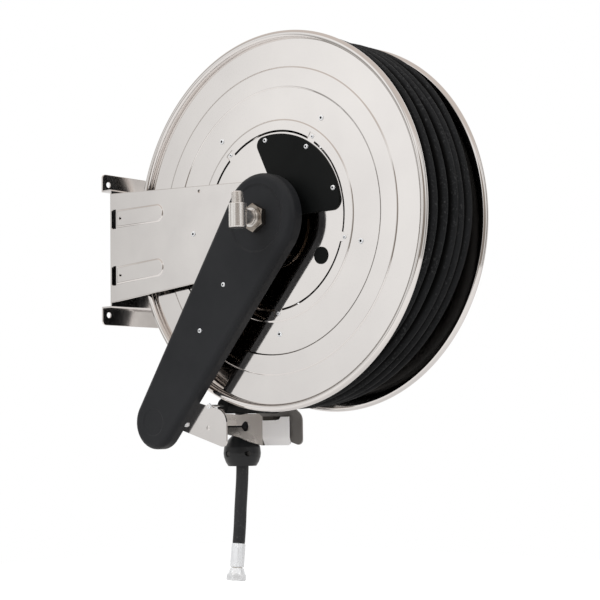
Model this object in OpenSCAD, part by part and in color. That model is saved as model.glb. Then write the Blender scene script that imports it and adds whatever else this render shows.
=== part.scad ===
// Wall-mounted spring-rewind hose reel with its hose, in millimetres.
// The origin is the centre of the four wall holes, on the wall plane.
// +X points away from the wall, the drum turns about Y, and +Z is up.

/* [Wall bracket] */
// Hole spacing across the wall, along Y
bolt_spacing_y = 140; // [120:1:144]
// Hole spacing up the wall, along Z
bolt_spacing_z = 204; // [190:1:240]
// Diameter of the wall holes
bolt_hole_d = 9; // [6:0.5:11]
// Sheet thickness of the bracket
sheet_t = 2.5; // [2:0.1:3]
// Width over the two side plates
bracket_w = 165; // [160:1:180]
// How far the bracket's web stands off the wall
stand_off = 22; // [12:1:40]
// Width of the two rails that lie on the wall
rail_w = 26; // [22:1:36]
// Distance from the wall to the axle
axle_reach = 345; // [320:1:400]
// Height of the axle over the centre of the wall holes
axle_up = 12; // [0:1:30]
// Height of a side plate at the web
side_h_web = 168; // [150:1:176]
// Height of a side plate at the axle
side_h_axle = 124; // [110:1:130]

/* [Axle and inlet] */
// Diameter of the fixed axle
axle_d = 25; // [22:0.5:28]
// Diameter of the water way in the axle
water_d = 10; // [6:0.5:12]
// Width across the flats of the axle nuts
nut_flats = 33.5; // [32:0.5:38]
// Thickness of the axle nuts
nut_t = 9; // [6:0.5:10]
// Diameter of the axle's spigot that the inlet elbow turns on
spigot_d = 14; // [12:0.5:16]
// Radial clearance of every running fit
run_gap = 0.05; // [0.02:0.01:0.08]
// Diameter of the inlet elbow's upright body
elbow_d = 23.5; // [22:0.5:28]
// Length of the inlet elbow's upright body
elbow_len = 34; // [30:1:44]
// Outside diameter of the inlet thread
inlet_thread_d = 16.6; // [12:0.1:20]
// Length of the inlet thread
inlet_thread_len = 16.5; // [12:0.5:22]

/* [Drum] */
// Outside diameter of the flanges
flange_d = 540; // [520:1:544]
// Clearance between a flange web and the side plate beside it
drum_clear = 13; // [12:0.5:18]
// Sheet thickness of the flanges
flange_t = 1.5; // [1:0.1:2]
// Radius of the rolled bead round each flange
bead_r = 5.5; // [4:0.1:6]
// Diameter of the core that the hose winds on
core_d = 340; // [336:1:380]
// Diameter of the hub discs
hub_disc_d = 252; // [244:1:262]
// Width of the ring slot round a hub disc
slot_w = 3; // [2:0.5:4]
// Sheet thickness of the hub discs
hub_t = 2; // [1.5:0.1:2.5]
// Thickness of the black cover on the front hub disc
hub_cover_t = 3; // [2:0.5:4]
// Diameter of the round plug in the front hub disc
plug_d = 24; // [16:1:30]

/* [Hose] */
// Outside diameter of the hose
hose_d = 18.5; // [16:0.5:19]
// Diameter over the wound hose
winding_d = 532; // [524:1:534]
// Turns in the outer layer of the winding
coil_turns = 4; // [2:1:4]

/* [Arm] */
// Thickness of the arm plate
arm_t = 2.5; // [2:0.1:4]
// Depth of the arm cover
arm_cover_depth = 21; // [16:1:24]
// Wall of the arm cover
arm_wall = 3; // [2:0.5:4]
// Radius of the arm cover at the axle
arm_r_hub = 64.5; // [62:0.5:68]
// Radius of the arm cover at its lower end
arm_r_end = 40; // [34:1:44]
// Distance between the centres of the arm cover's two ends
arm_len = 351; // [345:1:356]
// Angle of the arm below the horizontal, measured from the wall side
arm_angle = 53; // [51:0.5:55]

/* [Hose guide] */
// Diameter of the upper guide roller
upper_roller_d = 22; // [17:0.5:23]
// Diameter of the lower guide roller
lower_roller_d = 17; // [14:0.5:18]
// Length of the two guide rollers
roller_len = 116; // [90:1:140]
// Diameter of the roller rods
rod_d = 4; // [3:0.5:5]
// Thickness of the guide's sheet
guide_t = 2.5; // [2:0.1:3]
// Diameter of the hose stop
stop_d = 56; // [50:1:58]
// Height of the hose stop
stop_h = 45; // [40:1:52]

/* [Hose end] */
// Length of the crimped ferrule
ferrule_len = 35; // [25:1:45]
// Width across the flats of the hose nut
hose_nut_flats = 24; // [22:0.5:27]
// Length of the hose nut
hose_nut_len = 19; // [16:1:26]

/* [Hidden] */

// Round counts
$fn = 64;
tube_sides = 10;
coil_sides = 6;
rings_per_turn = 24;
arc_steps = 24;

// Stock sizes that several pieces share
soft_gap = 0.3;          // clearance between curved pieces that don't touch
screw_d = 4;             // shank of the small screws
screw_head_d = 7;        // head of the small screws
screw_head_h = 2.2;      // height of that head
rivet_d = 6.5;           // head of the rivets
rivet_h = 1.2;           // height of a rivet head
bolt_d = 8;              // arm bolts
bolt_flats = 13;         // their hexagon
rod_nut_t = 3;           // thickness of the nuts on the roller rods
rod_nut_flats = 7;       // their hexagon

// Stations along Y, front side first
side_y = bracket_w / 2;              // outer face of a side plate
side_in_y = side_y - sheet_t;        // its inner face
arm_back_y = side_y + arm_t;         // outer face of the arm plate
cover_front_y = arm_back_y + arm_cover_depth;
hub_recess = 1.5;                    // recess in the arm cover round the nut
nut_seat_y = cover_front_y - hub_recess;
nut_front_y = nut_seat_y + nut_t;
collar_t = 3;
collar_y = nut_front_y + collar_t;
elbow_y = collar_y + 25.5;           // axis of the elbow's upright body
web_y = side_in_y - drum_clear;      // outer face of a flange web
web_in_y = web_y - flange_t;         // its inner face
hub_y = web_y - 0.5;                 // outer face of a hub disc
core_end_y = web_in_y;               // outer end of the core
step_h = 1.2;                        // height of the pressed rings

// Radii of the drum
flange_r = flange_d / 2;
bead_c_r = flange_r - bead_r;
hub_r = hub_disc_d / 2;
web_hole_r = hub_r + slot_w;
core_r = core_d / 2;
core_wall = 2;
rivet_circle_r = core_r - 8.5;
tab_count = 5;
tab_r = web_hole_r + 7.5;
tab_w = 13;
tab_fit = 0.5;
tab_angle = 56.5;
winding_r = winding_d / 2;
hose_r = hose_d / 2;
coil_r = winding_r - hose_r;         // centre line of the outer layer
hose_core_r = coil_r * cos(180 / rings_per_turn) - hose_r - soft_gap;

// Heights of the bracket at the wall
rail_lip_z = bolt_spacing_z / 2 - 10;      // the rails bend off the wall here
rail_top_z = rail_lip_z + rail_w;
web_x = stand_off - sheet_t;               // wall side of the web
axle_pos = [axle_reach, 0, axle_up];

// Where the arm and the guide lie, seen from the axle
arm_hub_c = [3, -1];
arm_end_c = arm_hub_c - arm_len * [cos(arm_angle), sin(arm_angle)];
arm_screw_at = [110, 189];                 // distances down the arm
guide_right_x = -80;
guide_web_x = -111;
guide_web_y = 23;                          // the web's front stretch ends here
guide_low_z = -318;
front_plate_top_z = -263.5;
rear_plate_top_z = -266;
rod_upper_at = [-112, -259.5];
hose_exit_x = -138;
hose_exit_y = 10;
lower_roller_gap = 4.5;                    // from the hose to the lower roller
rod_lower_at = [hose_exit_x - hose_r - lower_roller_d / 2 - lower_roller_gap, -285];
stop_z = -329;                             // widest ring of the hose stop
stop_top_z = -303;
stop_turn = 26;                            // how far the stop faces away from -Y
end_tilt = 7;                              // lean of the hose end towards -Y
end_dir = [0, -sin(end_tilt), -cos(end_tilt)];

// The hose from beside the winding to the top of the stop, seen from the axle
run_points = [
    [-232, 48, -151], [-221.2, 46, -167.8], [-199, 41, -201.5], [-178, 34, -234],
    [-158, 26, -260], [-144.5, 18, -276], [-138.5, 12, -290], [-138, 10, -302.7]
];
// The free end of the hose, from the top of the stop to the ferrule
tail_end = [-138, 0, -462];
tail_points = [
    [-138, 10, -303], [-138, 10, -320], [-138, 10, -336], [-138, 10, -350],
    [-138, 9, -369], [-138, 7, -390], [-138, 5, -410], [-138, 3.8, -427],
    tail_end - hose_d * end_dir, tail_end
];

// Colours of the finishes
steel = [0.83, 0.82, 0.80];
zinc = [0.75, 0.76, 0.77];
black = [0.13, 0.14, 0.14];
rubber = [0.09, 0.09, 0.10];
brass = [0.72, 0.58, 0.32];

// ---------- helpers ----------

// Moves what is drawn round the axle to its place on the wall frame.
module at_axle() {
    translate(axle_pos)
        children();
}

// Stands a drawing of the XZ plane up and gives it a thickness along Y.
module plate_y(y0, t) {
    translate([0, y0 + t, 0])
        rotate([90, 0, 0])
            linear_extrude(t)
                children();
}

// A round bar along Y from y0, of length len.
module bar_y(y0, len, r) {
    translate([0, y0, 0])
        rotate([-90, 0, 0])
            cylinder(h = len, r = r);
}

// A ring along Y.
module ring_y(y0, len, r_out, r_in) {
    plate_y(y0, len)
        difference() {
            circle(r_out);
            circle(r_in);
        }
}

// A hexagon along Y with a hole.
module hex_nut_y(y0, len, flats, hole_r) {
    plate_y(y0, len)
        difference() {
            rotate(30)
                circle(r = flats / sqrt(3), $fn = 6);
            circle(hole_r, $fn = 64);
        }
}

// A pan-head screw whose head lies on the face at y, pointing to -Y.
module screw_front(y, shank_len) {
    bar_y(y - screw_head_h, screw_head_h, screw_head_d / 2);
    bar_y(y, shank_len, screw_d / 2);
}

// Places its child at count spots on a circle of radius r round Y.
module around(count, r, start) {
    for (i = [0 : count - 1])
        rotate([0, -(start + i * 360 / count), 0])
            translate([r, 0, 0])
                children();
}

// Points on an arc round c, from the angle a0 to a1.
function arc(c, r, a0, a1) =
    [for (i = [0 : arc_steps]) let (a = a0 + (a1 - a0) * i / arc_steps) c + r * [cos(a), sin(a)]];

// Outline round two circles of different radius, with its tangent lines.
module tapered_bar(p, rp, q, rq) {
    d = q - p;
    a = atan2(d[1], d[0]);
    t = acos((rp - rq) / norm(d));
    polygon(concat(arc(p, rp, a + t, a + 360 - t), arc(q, rq, a - t, a + t)));
}

// One point of a smooth curve through b and c, with a and d beyond them.
function curve_point(a, b, c, d, t) =
    0.5 * (2 * b + (c - a) * t + (2 * a - 5 * b + 4 * c - d) * t * t
        + (3 * b - a - 3 * c + d) * t * t * t);

// The curve through all points, with steps pieces between two of them.
function smooth_path(p, steps) = [
    for (i = [0 : len(p) - 2], s = [0 : steps - 1])
        curve_point(
            p[max(i - 1, 0)], p[i], p[i + 1], p[min(i + 2, len(p) - 1)], s / steps),
    p[len(p) - 1]
];

// Unit vector
function unit(v) = v / norm(v);

// Direction of a path at its point i
function path_dir(p, i) = unit(p[min(i + 1, len(p) - 1)] - p[max(i - 1, 0)]);

// One ring of a tube: sides points round c, square to the direction d.
function tube_ring(c, d, side, r, sides) =
    let (u = unit(cross(d, side)), v = cross(u, d))
    [for (k = [0 : sides - 1])
        c + r * (cos(360 * k / sides) * u + sin(360 * k / sides) * v)];

// A tube swept along the points of path, closed at both ends, in triangles.
module swept_tube(path, dirs, side, r, sides) {
    n = len(path);
    rings = [for (i = [0 : n - 1]) each tube_ring(path[i], dirs[i], side, r, sides)];
    walls = [
        for (i = [0 : n - 2], k = [0 : sides - 1])
            let (a = i * sides + k, b = i * sides + (k + 1) % sides)
            each [[a, a + sides, b], [b, a + sides, b + sides]]
    ];
    first_cap = [for (k = [1 : sides - 2]) [0, k, k + 1]];
    last = (n - 1) * sides;
    last_cap = [for (k = [1 : sides - 2]) [last, last + k + 1, last + k]];
    polyhedron(
        points = rings, faces = concat(walls, first_cap, last_cap), convexity = 8);
}

// A tube along hand-chosen points, seen from the axle, that ends square to end_way.
module hose_along(points, steps, end_way) {
    path = smooth_path(points, steps);
    last = len(path) - 1;
    dirs = [for (i = [0 : last]) i == last ? end_way : path_dir(path, i)];
    swept_tube(path, dirs, [0, 1, 0], hose_r, tube_sides);
}

// ---------- wall bracket ----------

side_mid_axle = -5;                   // middle of a side plate at the axle
// Height of a side plate's edge at x, above (1) or below (-1) its middle.
function side_edge_z(x, way) =
    let (
        x0 = stand_off - axle_reach,
        mid_web = -axle_up,
        at_web = mid_web + way * side_h_web / 2,
        at_axle = side_mid_axle + way * side_h_axle / 2
    )
    at_web + (at_axle - at_web) * (x - x0) / (0 - x0);

// Outline of a side plate, seen from the axle.
module side_outline() {
    x0 = stand_off - sheet_t - axle_reach;
    nose = [-12, side_mid_axle];
    top = [x0, side_edge_z(x0, 1)];
    low = [x0, side_edge_z(x0, -1)];
    polygon(concat([top, low], arc(nose, side_h_axle / 2, -90, 90)));
}

// Middle line of a pressed channel: way is 1 above and -1 below.
function channel_z(x, way) =
    way > 0 ? 32 : -55.5 + 0.062 * (x - channel_x0);
channel_x0 = -309;
channel_x1 = -221;
channel_r = 13.8;
channel_h = 1.2;

// The pressed channels and the slots at their wall ends.
module channel_2d(way, r) {
    a = [channel_x0, channel_z(channel_x0, way)];
    b = [channel_x1, channel_z(channel_x1, way)];
    polygon(concat(arc(b, r, -90, 90), [a + [0, r], a - [0, r]]));
}

module side_plate() {
    relief_w = 9.5;
    difference() {
        union() {
            plate_y(-side_y, sheet_t)
                side_outline();
            for (way = [-1, 1])
                plate_y(-side_y - channel_h, channel_h)
                    channel_2d(way, channel_r);
        }
        for (way = [-1, 1]) {
            translate([channel_x0 - relief_w, -side_y - 2, channel_z(channel_x0, way) - 15])
                cube([relief_w, sheet_t + 4, 30]);
            plate_y(-side_y - 0.001, channel_h + 0.001)
                channel_2d(way, channel_r - 1.6);
            translate([channel_x0 + 8.5, 0, channel_z(channel_x0 + 8.5, way)])
                bar_y(-side_y - 3, 8, 1.8);
        }
        translate([-132.5, 0, 55])
            bar_y(-side_y - 3, 8, 1.8);
        translate([-144.5, 0, -7])
            bar_y(-side_y - 3, 8, screw_d / 2);
        bar_y(-side_y - 3, 8, axle_d / 2);
        for (a = arm_bolt_angles)
            rotate([0, -a, 0])
                translate([arm_bolt_r, 0, 0])
                    bar_y(-side_y - 3, 8, bolt_d / 2);
    }
}
arm_bolt_angles = [205, 255];
arm_bolt_r = 44;

// The upper wall rail, rounded at its free corners, with its lip out to the web
module rail() {
    r = 7;
    y = side_y;
    difference() {
        rotate([90, 0, 90])
            linear_extrude(sheet_t)
                polygon(concat(
                    [[-y, rail_lip_z], [y, rail_lip_z]],
                    arc([y - r, rail_top_z - r], r, 0, 90),
                    arc([r - y, rail_top_z - r], r, 90, 180)));
        for (way = [-1, 1])
            translate([-1, way * bolt_spacing_y / 2, bolt_spacing_z / 2])
                rotate([0, 90, 0])
                    cylinder(h = sheet_t + 2, r = bolt_hole_d / 2);
    }
    translate([0, -side_y, rail_lip_z - sheet_t])
        cube([stand_off, bracket_w, sheet_t]);
}

// Sheet-steel bracket: hat-shaped wall part with two side plates
module wall_bracket() {
    color(steel) {
        rail();
        mirror([0, 0, 1])
            rail();
        translate([web_x, -side_y, -rail_lip_z])
            cube([sheet_t, bracket_w, 2 * rail_lip_z]);
        at_axle()
            side_plate();
        at_axle()
            mirror([0, 1, 0])
                side_plate();
    }
}

// Rivets in the spare holes of the side plates
module bracket_rivets() {
    color(zinc)
        at_axle()
            for (m = [0, 1])
                mirror([0, m, 0])
                    translate([-144.5, 0, -7]) {
                        bar_y(-side_y - rivet_h, rivet_h, rivet_d / 2);
                        bar_y(-side_y, sheet_t + 1, screw_d / 2);
                    }
}

// ---------- axle and inlet ----------

axle_rear_y = side_y + 1.5 + nut_t + 3;
arbor_y0 = 12;
arbor_len = 40;
port_y = -20;

// Fixed axle with the water way and the spigot for the elbow
module axle() {
    color(steel)
        at_axle()
            difference() {
                union() {
                    bar_y(-nut_front_y, nut_front_y + axle_rear_y, axle_d / 2);
                    bar_y(-elbow_y, elbow_y - nut_front_y + 1, spigot_d / 2);
                }
                bar_y(-elbow_y - 1, elbow_y + 1 + port_y + water_d / 2, water_d / 2);
                translate([0, port_y, 0])
                    cylinder(h = axle_d, r = water_d / 2 - 1);
            }
}

// Hexagon nut on the front end of the axle
module axle_nut_front() {
    color(steel)
        at_axle()
            hex_nut_y(-nut_front_y, nut_t, nut_flats, axle_d / 2);
}

// Washer under the rear nut
module axle_washer_rear() {
    color(steel)
        at_axle()
            ring_y(side_y, 1.5, 20, axle_d / 2);
}

// Hexagon nut on the rear end of the axle
module axle_nut_rear() {
    color(steel)
        at_axle()
            hex_nut_y(side_y + 1.5, nut_t, nut_flats, axle_d / 2);
}

// Thrust collar between the nut and the elbow
module swivel_collar() {
    color(zinc)
        at_axle()
            ring_y(-collar_y, collar_t - 0.2, 13.5, spigot_d / 2);
}

elbow_low = -elbow_len / 2;
elbow_neck_r = 10.5;
// Turning inlet elbow with its outside thread
module inlet_elbow() {
    color(steel)
        at_axle()
            difference() {
                union() {
                    translate([0, -elbow_y, elbow_low])
                        cylinder(h = elbow_len, r = elbow_d / 2);
                    translate([0, -elbow_y, elbow_low + elbow_len])
                        cylinder(h = inlet_thread_len, r = inlet_thread_d / 2);
                    bar_y(-elbow_y, elbow_y - collar_y - 0.2, elbow_neck_r);
                }
                bar_y(-elbow_y, elbow_y, spigot_d / 2 + run_gap);
                translate([0, -elbow_y, 0])
                    cylinder(h = elbow_len / 2 + inlet_thread_len + 1, r = water_d / 2);
            }
}

// ---------- arm ----------

// Outline of the part of the arm plate that the cover hides.
module arm_plate_outline(inset) {
    tapered_bar(arm_hub_c, arm_r_hub - inset, arm_end_c, arm_r_end - inset);
}

// Outline of a guide plate, seen from the axle. Its hidden end is at left,
// and its top edge climbs towards it at the slope rise.
module guide_outline(left, top_z, top_r, rise) {
    low_r = 8;
    low_slope = 0.3;
    low = [guide_right_x - low_r, guide_low_z + low_r];
    top = [guide_right_x - top_r, top_z - top_r];
    low_a = -90 - atan(low_slope);
    top_a = 90 - atan(rise);
    low_end = low + low_r * [cos(low_a), sin(low_a)];
    top_end = top + top_r * [cos(top_a), sin(top_a)];
    polygon(concat(
        arc(low, low_r, low_a, 0), arc(top, top_r, 0, top_a),
        [
            [left, top_end[1] + rise * (top_end[0] - left)],
            [left, low_end[1] + low_slope * (low_end[0] - left)]
        ]));
}

// Outline of the front guide plate, which the arm plate runs out into.
module front_guide_outline() {
    guide_outline(-190, front_plate_top_z, 22, 0.25);
}

// Steel arm plate with the front guide plate at its lower end
module arm_plate() {
    color(steel)
        at_axle()
            difference() {
                plate_y(-arm_back_y, arm_t) {
                    arm_plate_outline(arm_wall + 0.5);
                    front_guide_outline();
                }
                bar_y(-arm_back_y - 1, arm_t + 2, axle_d / 2);
                for (at = [rod_upper_at, rod_lower_at])
                    translate([at[0], 0, at[1]])
                        bar_y(-arm_back_y - 1, arm_t + 2, rod_d / 2);
                for (a = arm_bolt_angles)
                    rotate([0, -a, 0])
                        translate([arm_bolt_r, 0, 0])
                            bar_y(-arm_back_y - 1, arm_t + 2, bolt_d / 2);
                for (s = arm_screw_at)
                    translate(arm_point(s))
                        bar_y(-arm_back_y - 1, arm_t + 2, screw_d / 2);
            }
}

// A point on the arm's middle line, s away from its upper end.
function arm_point(s) =
    let (p = arm_hub_c - s * [cos(arm_angle), sin(arm_angle)])
    [p[0], 0, p[1]];

// Bolts and nuts that hold the arm plate to the side plate
module arm_bolts() {
    color(zinc)
        at_axle()
            for (a = arm_bolt_angles)
                rotate([0, -a, 0])
                    translate([arm_bolt_r, 0, 0]) {
                        plate_y(-arm_back_y - 5.3, 5.3)
                            circle(r = bolt_flats / sqrt(3), $fn = 6);
                        bar_y(-arm_back_y, arm_t + sheet_t + 4, bolt_d / 2);
                        hex_nut_y(-side_in_y, 3.6, bolt_flats, bolt_d / 2);
                    }
}

end_recess_r = 20;
hub_recess_r = 47;
// Moulded arm cover, open at the back
module arm_cover() {
    color(black)
        at_axle()
            difference() {
                union() {
                    difference() {
                        plate_y(-cover_front_y, arm_cover_depth)
                            arm_plate_outline(0);
                        plate_y(-cover_front_y + arm_wall, arm_cover_depth)
                            arm_plate_outline(arm_wall);
                    }
                    // posts for the cover's screws
                    for (s = arm_screw_at)
                        translate(arm_point(s))
                            bar_y(-cover_front_y + 1, arm_cover_depth - 1, 6);
                    // seat of the axle nut
                    bar_y(-cover_front_y + 1, arm_cover_depth - 1, axle_d / 2 + 6);
                }
                bar_y(-cover_front_y - 1, hub_recess + 1, hub_recess_r);
                translate([arm_end_c[0], 0, arm_end_c[1]])
                    bar_y(-cover_front_y - 1, 1.8, end_recess_r);
                bar_y(-cover_front_y - 1, arm_cover_depth + 2, axle_d / 2);
                for (s = arm_screw_at)
                    translate(arm_point(s)) {
                        bar_y(-cover_front_y - 1, arm_cover_depth + 2, screw_d / 2);
                        bar_y(-cover_front_y - 1, 2, screw_head_d / 2 + 0.4);
                    }
                // pocket for the nut of the lower roller rod
                translate([rod_lower_at[0], 0, rod_lower_at[1]])
                    bar_y(-arm_back_y - rod_nut_t - 1.5, rod_nut_t + 2, rod_nut_flats * 0.6 + 0.5);
            }
}

// Screws in the face of the arm cover
module arm_cover_screws() {
    color(zinc)
        at_axle()
            for (s = arm_screw_at)
                translate(arm_point(s))
                    screw_front(-cover_front_y + 1, arm_cover_depth + arm_t + 1);
}

// ---------- drum ----------

// Radii where the web is pressed outwards and back
ring_steps = [web_hole_r + 13, core_r + 19, core_r + 47];

// Half section of a flange: radius, then distance from the drum's middle.
module flange_section() {
    a = web_in_y;
    h = step_h;
    s = 2;
    polygon([
        [web_hole_r, a], [ring_steps[0], a], [ring_steps[0] + s, a - h],
        [ring_steps[1], a - h], [ring_steps[1] + s, a], [ring_steps[2], a],
        [ring_steps[2] + s, a - h], [bead_c_r, a - h],
        [bead_c_r, a - h + flange_t], [ring_steps[2] + s, a - h + flange_t],
        [ring_steps[2], a + flange_t], [ring_steps[1] + s, a + flange_t],
        [ring_steps[1], a - h + flange_t], [ring_steps[0] + s, a - h + flange_t],
        [ring_steps[0], a + flange_t], [web_hole_r, a + flange_t]
    ]);
    translate([bead_c_r, web_in_y - step_h + bead_r])
        difference() {
            circle(bead_r, $fn = 32);
            circle(bead_r - flange_t, $fn = 32);
            translate([-bead_r, flange_t - bead_r + 2])
                square([bead_r, 2]);
        }
}

// A flange on the front side
module flange_shape() {
    difference() {
        rotate([90, 0, 0])
            rotate_extrude($fn = 180)
                flange_section();
        around(tab_count, 0, tab_angle)
            translate([hub_r, -web_y - 1, -tab_w / 2 - tab_fit])
                cube([tab_r - hub_r + tab_fit, flange_t + 2, tab_w + 2 * tab_fit]);
        around(tab_count, rivet_circle_r, tab_angle)
            bar_y(-web_y - 1, flange_t + step_h + 2, screw_d / 2);
    }
}

// Front flange with its rolled bead
module front_flange() {
    color(steel)
        at_axle()
            flange_shape();
}

// Rear flange, the mirror of the front one
module rear_flange() {
    color(steel)
        at_axle()
            mirror([0, 1, 0])
                flange_shape();
}

// Core tube with an end ring on each side
module drum_core() {
    color(steel)
        at_axle()
            difference() {
                union() {
                    ring_y(-core_end_y + step_h, 2 * (core_end_y - step_h), core_r, core_r - core_wall);
                    for (m = [0, 1])
                        mirror([0, m, 0])
                            core_end_ring();
                }
                rotate([0, -tab_angle, 0])
                    translate([core_r - 20, port_y, 0])
                        rotate([0, 90, 0])
                            cylinder(h = 22, r = feed_r);
                for (m = [0, 1])
                    mirror([0, m, 0]) {
                        around(tab_count, rivet_circle_r, tab_angle)
                            bar_y(-core_end_y - 1, 6, screw_d / 2);
                        around(tab_count, tab_r - 4, tab_angle)
                            bar_y(-core_end_y - 1, 6, screw_d / 2);
                    }
            }
}

// End ring of the core: flat under the tabs, one step lower under the web.
module core_end_ring() {
    ring_y(-core_end_y + step_h, core_wall, core_r, web_hole_r + 1);
    ring_y(-core_end_y, step_h, ring_steps[0] - 0.3, web_hole_r + 1);
}

// Rivets between a flange and the core
module flange_rivets() {
    y = -web_y + step_h;
    around(tab_count, rivet_circle_r, tab_angle) {
        bar_y(y - rivet_h, rivet_h, rivet_d / 2);
        bar_y(y, flange_t + core_wall + 1, screw_d / 2);
    }
}

// Rivets of the front flange
module flange_rivets_front() {
    color(zinc)
        at_axle()
            flange_rivets();
}

// Rivets of the rear flange
module flange_rivets_rear() {
    color(zinc)
        at_axle()
            mirror([0, 1, 0])
                flange_rivets();
}

sleeve_r = 25;
bearing_r = 20;
plug_at = [hub_r - 23, -33.5];               // radius and angle of the plug
cover_screw_r = hub_r - 9.5;
cover_screw_angles = [17, 56.5, 96];

// A hub disc on the front side, with its tabs
module hub_disc() {
    difference() {
        union() {
            plate_y(-hub_y, hub_t)
                circle(hub_r, $fn = 180);
            around(tab_count, 0, tab_angle)
                translate([hub_r - 4, -hub_y, -tab_w / 2])
                    cube([tab_r - hub_r + 4, hub_y - core_end_y, tab_w]);
        }
        bar_y(-hub_y - 1, hub_t + 2, bearing_r);
        around(tab_count, tab_r - 4, tab_angle)
            bar_y(-hub_y - 1, hub_t + 2, screw_d / 2);
    }
}

// Front hub disc with the holes for the plug and the cover's screws
module hub_disc_front() {
    color(steel)
        at_axle()
            difference() {
                hub_disc();
                rotate([0, -plug_at[1], 0])
                    translate([plug_at[0], 0, 0])
                        bar_y(-hub_y - 1, hub_t + 2, plug_d / 2 - 1.5);
                for (a = cover_screw_angles)
                    rotate([0, -a, 0])
                        translate([cover_screw_r, 0, 0])
                            bar_y(-hub_y - 1, hub_t + 2, screw_d / 2);
            }
}

// Rear hub disc
module hub_disc_rear() {
    color(steel)
        at_axle()
            mirror([0, 1, 0])
                hub_disc();
}

// Screws through the tabs of a hub disc
module hub_screws() {
    around(tab_count, tab_r - 4, tab_angle) {
        bar_y(-hub_y - 1.4, 1.4, 2.8);
        bar_y(-hub_y, hub_t + core_wall + step_h, screw_d / 2);
    }
}

// Tab screws of the front hub disc
module hub_screws_front() {
    color(zinc)
        at_axle()
            hub_screws();
}

// Tab screws of the rear hub disc
module hub_screws_rear() {
    color(zinc)
        at_axle()
            mirror([0, 1, 0])
                hub_screws();
}

cover_r = hub_r - 2.5;
cover_in_r = 36;
cover_low_z = 3.5;                    // lower edge of the cover
cover_low_corner_r = 14;
cover_edge_a = 25.7;                  // the left edge faces away from this angle
cover_edge_d = 20.2;                  // distance of that edge from the axle
cover_corner_r = 12;

// Outline of the moulded sector, with two rounded outer corners
module hub_cover_outline() {
    low_c = [
        sqrt(pow(cover_r - cover_low_corner_r, 2) - pow(cover_low_z + cover_low_corner_r, 2)),
        cover_low_z + cover_low_corner_r
    ];
    edge_d = cover_edge_d + cover_corner_r;
    along_edge = sqrt(pow(cover_r - cover_corner_r, 2) - pow(edge_d, 2));
    top_c = edge_d * [cos(cover_edge_a), sin(cover_edge_a)]
        + along_edge * [-sin(cover_edge_a), cos(cover_edge_a)];
    low_a = atan2(low_c[1], low_c[0]);
    top_a = atan2(top_c[1], top_c[0]);
    polygon(concat(
        arc(low_c, cover_low_corner_r, -90, low_a),
        arc([0, 0], cover_r, low_a, top_a),
        arc(top_c, cover_corner_r, top_a, cover_edge_a + 180),
        arc([0, 0], cover_in_r, cover_edge_a + acos(cover_edge_d / cover_in_r),
            asin(cover_low_z / cover_in_r))));
}

// Moulded sector that covers the hose connection
module hub_cover() {
    color(black)
        at_axle()
            difference() {
                plate_y(-hub_y - hub_cover_t, hub_cover_t)
                    hub_cover_outline();
                for (a = cover_screw_angles)
                    rotate([0, -a, 0])
                        translate([cover_screw_r, 0, 0])
                            bar_y(-hub_y - 10, 12, screw_d / 2);
            }
}

// Screws of the hub cover
module hub_cover_screws() {
    color(zinc)
        at_axle()
            for (a = cover_screw_angles)
                rotate([0, -a, 0])
                    translate([cover_screw_r, 0, 0])
                        screw_front(-hub_y - hub_cover_t, hub_cover_t + hub_t + 4);
}

// Round plug in the front hub disc
module hub_plug() {
    color(black)
        at_axle()
            rotate([0, -plug_at[1], 0])
                translate([plug_at[0], 0, 0]) {
                    bar_y(-hub_y - 1.2, 1.2, plug_d / 2);
                    bar_y(-hub_y, hub_t + 3, plug_d / 2 - 1.5);
                }
}

sleeve_y0 = -hub_y + hub_t;
sleeve_y1 = 4;
case_y1 = hub_y - 4.5;
case_r = 112;
case_wall = 2.5;
feed_r = 8;

// Turning sleeve round the axle that carries the front hub disc
module hub_sleeve() {
    color(steel)
        at_axle()
            difference() {
                ring_y(sleeve_y0, sleeve_y1 - sleeve_y0, sleeve_r, bearing_r);
                translate([0, port_y, 0])
                    rotate([0, 90 - tab_angle, 0])
                        cylinder(h = sleeve_r + 2, r = feed_r - 2);
            }
}

// Flanged front bush between the axle and the turning hub
module bearing_front() {
    color(brass)
        at_axle() {
            ring_y(-hub_y - 2.5, 2.5, bearing_r + 4, axle_d / 2 + run_gap);
            ring_y(-hub_y, 26, bearing_r, axle_d / 2 + run_gap);
        }
}

// Flanged rear bush
module bearing_rear() {
    color(brass)
        at_axle() {
            ring_y(hub_y, 2.5, bearing_r + 4, axle_d / 2 + run_gap);
            ring_y(hub_y - 14, 14, bearing_r, axle_d / 2 + run_gap);
        }
}

// Two seals beside the water port
module swivel_seals() {
    color(rubber)
        at_axle()
            for (y = [port_y - 13, port_y + 7])
                ring_y(y, 6, bearing_r - 0.05, axle_d / 2 + run_gap);
}

// Feed pipe from the sleeve out to the core
module feed_pipe() {
    color(zinc)
        at_axle()
            translate([0, port_y, 0])
                rotate([0, 90 - tab_angle, 0])
                    translate([0, 0, sleeve_r + 12])
                        difference() {
                            cylinder(h = core_r - core_wall - sleeve_r - 13, r = feed_r - 1);
                            translate([0, 0, -1])
                                cylinder(h = core_r, r = feed_r - 3);
                        }
}

// Hexagon fitting between the sleeve and the feed pipe
module feed_fitting() {
    color(brass)
        at_axle()
            translate([0, port_y, 0])
                rotate([0, 90 - tab_angle, 0])
                    difference() {
                        translate([0, 0, sleeve_r + 0.1])
                            cylinder(h = 11.9, r = 12, $fn = 6);
                        cylinder(h = sleeve_r + 20, r = feed_r - 3);
                        rotate([0, -(90 - tab_angle), 0])
                            bar_y(-20, 40, sleeve_r);
                    }
}

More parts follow.
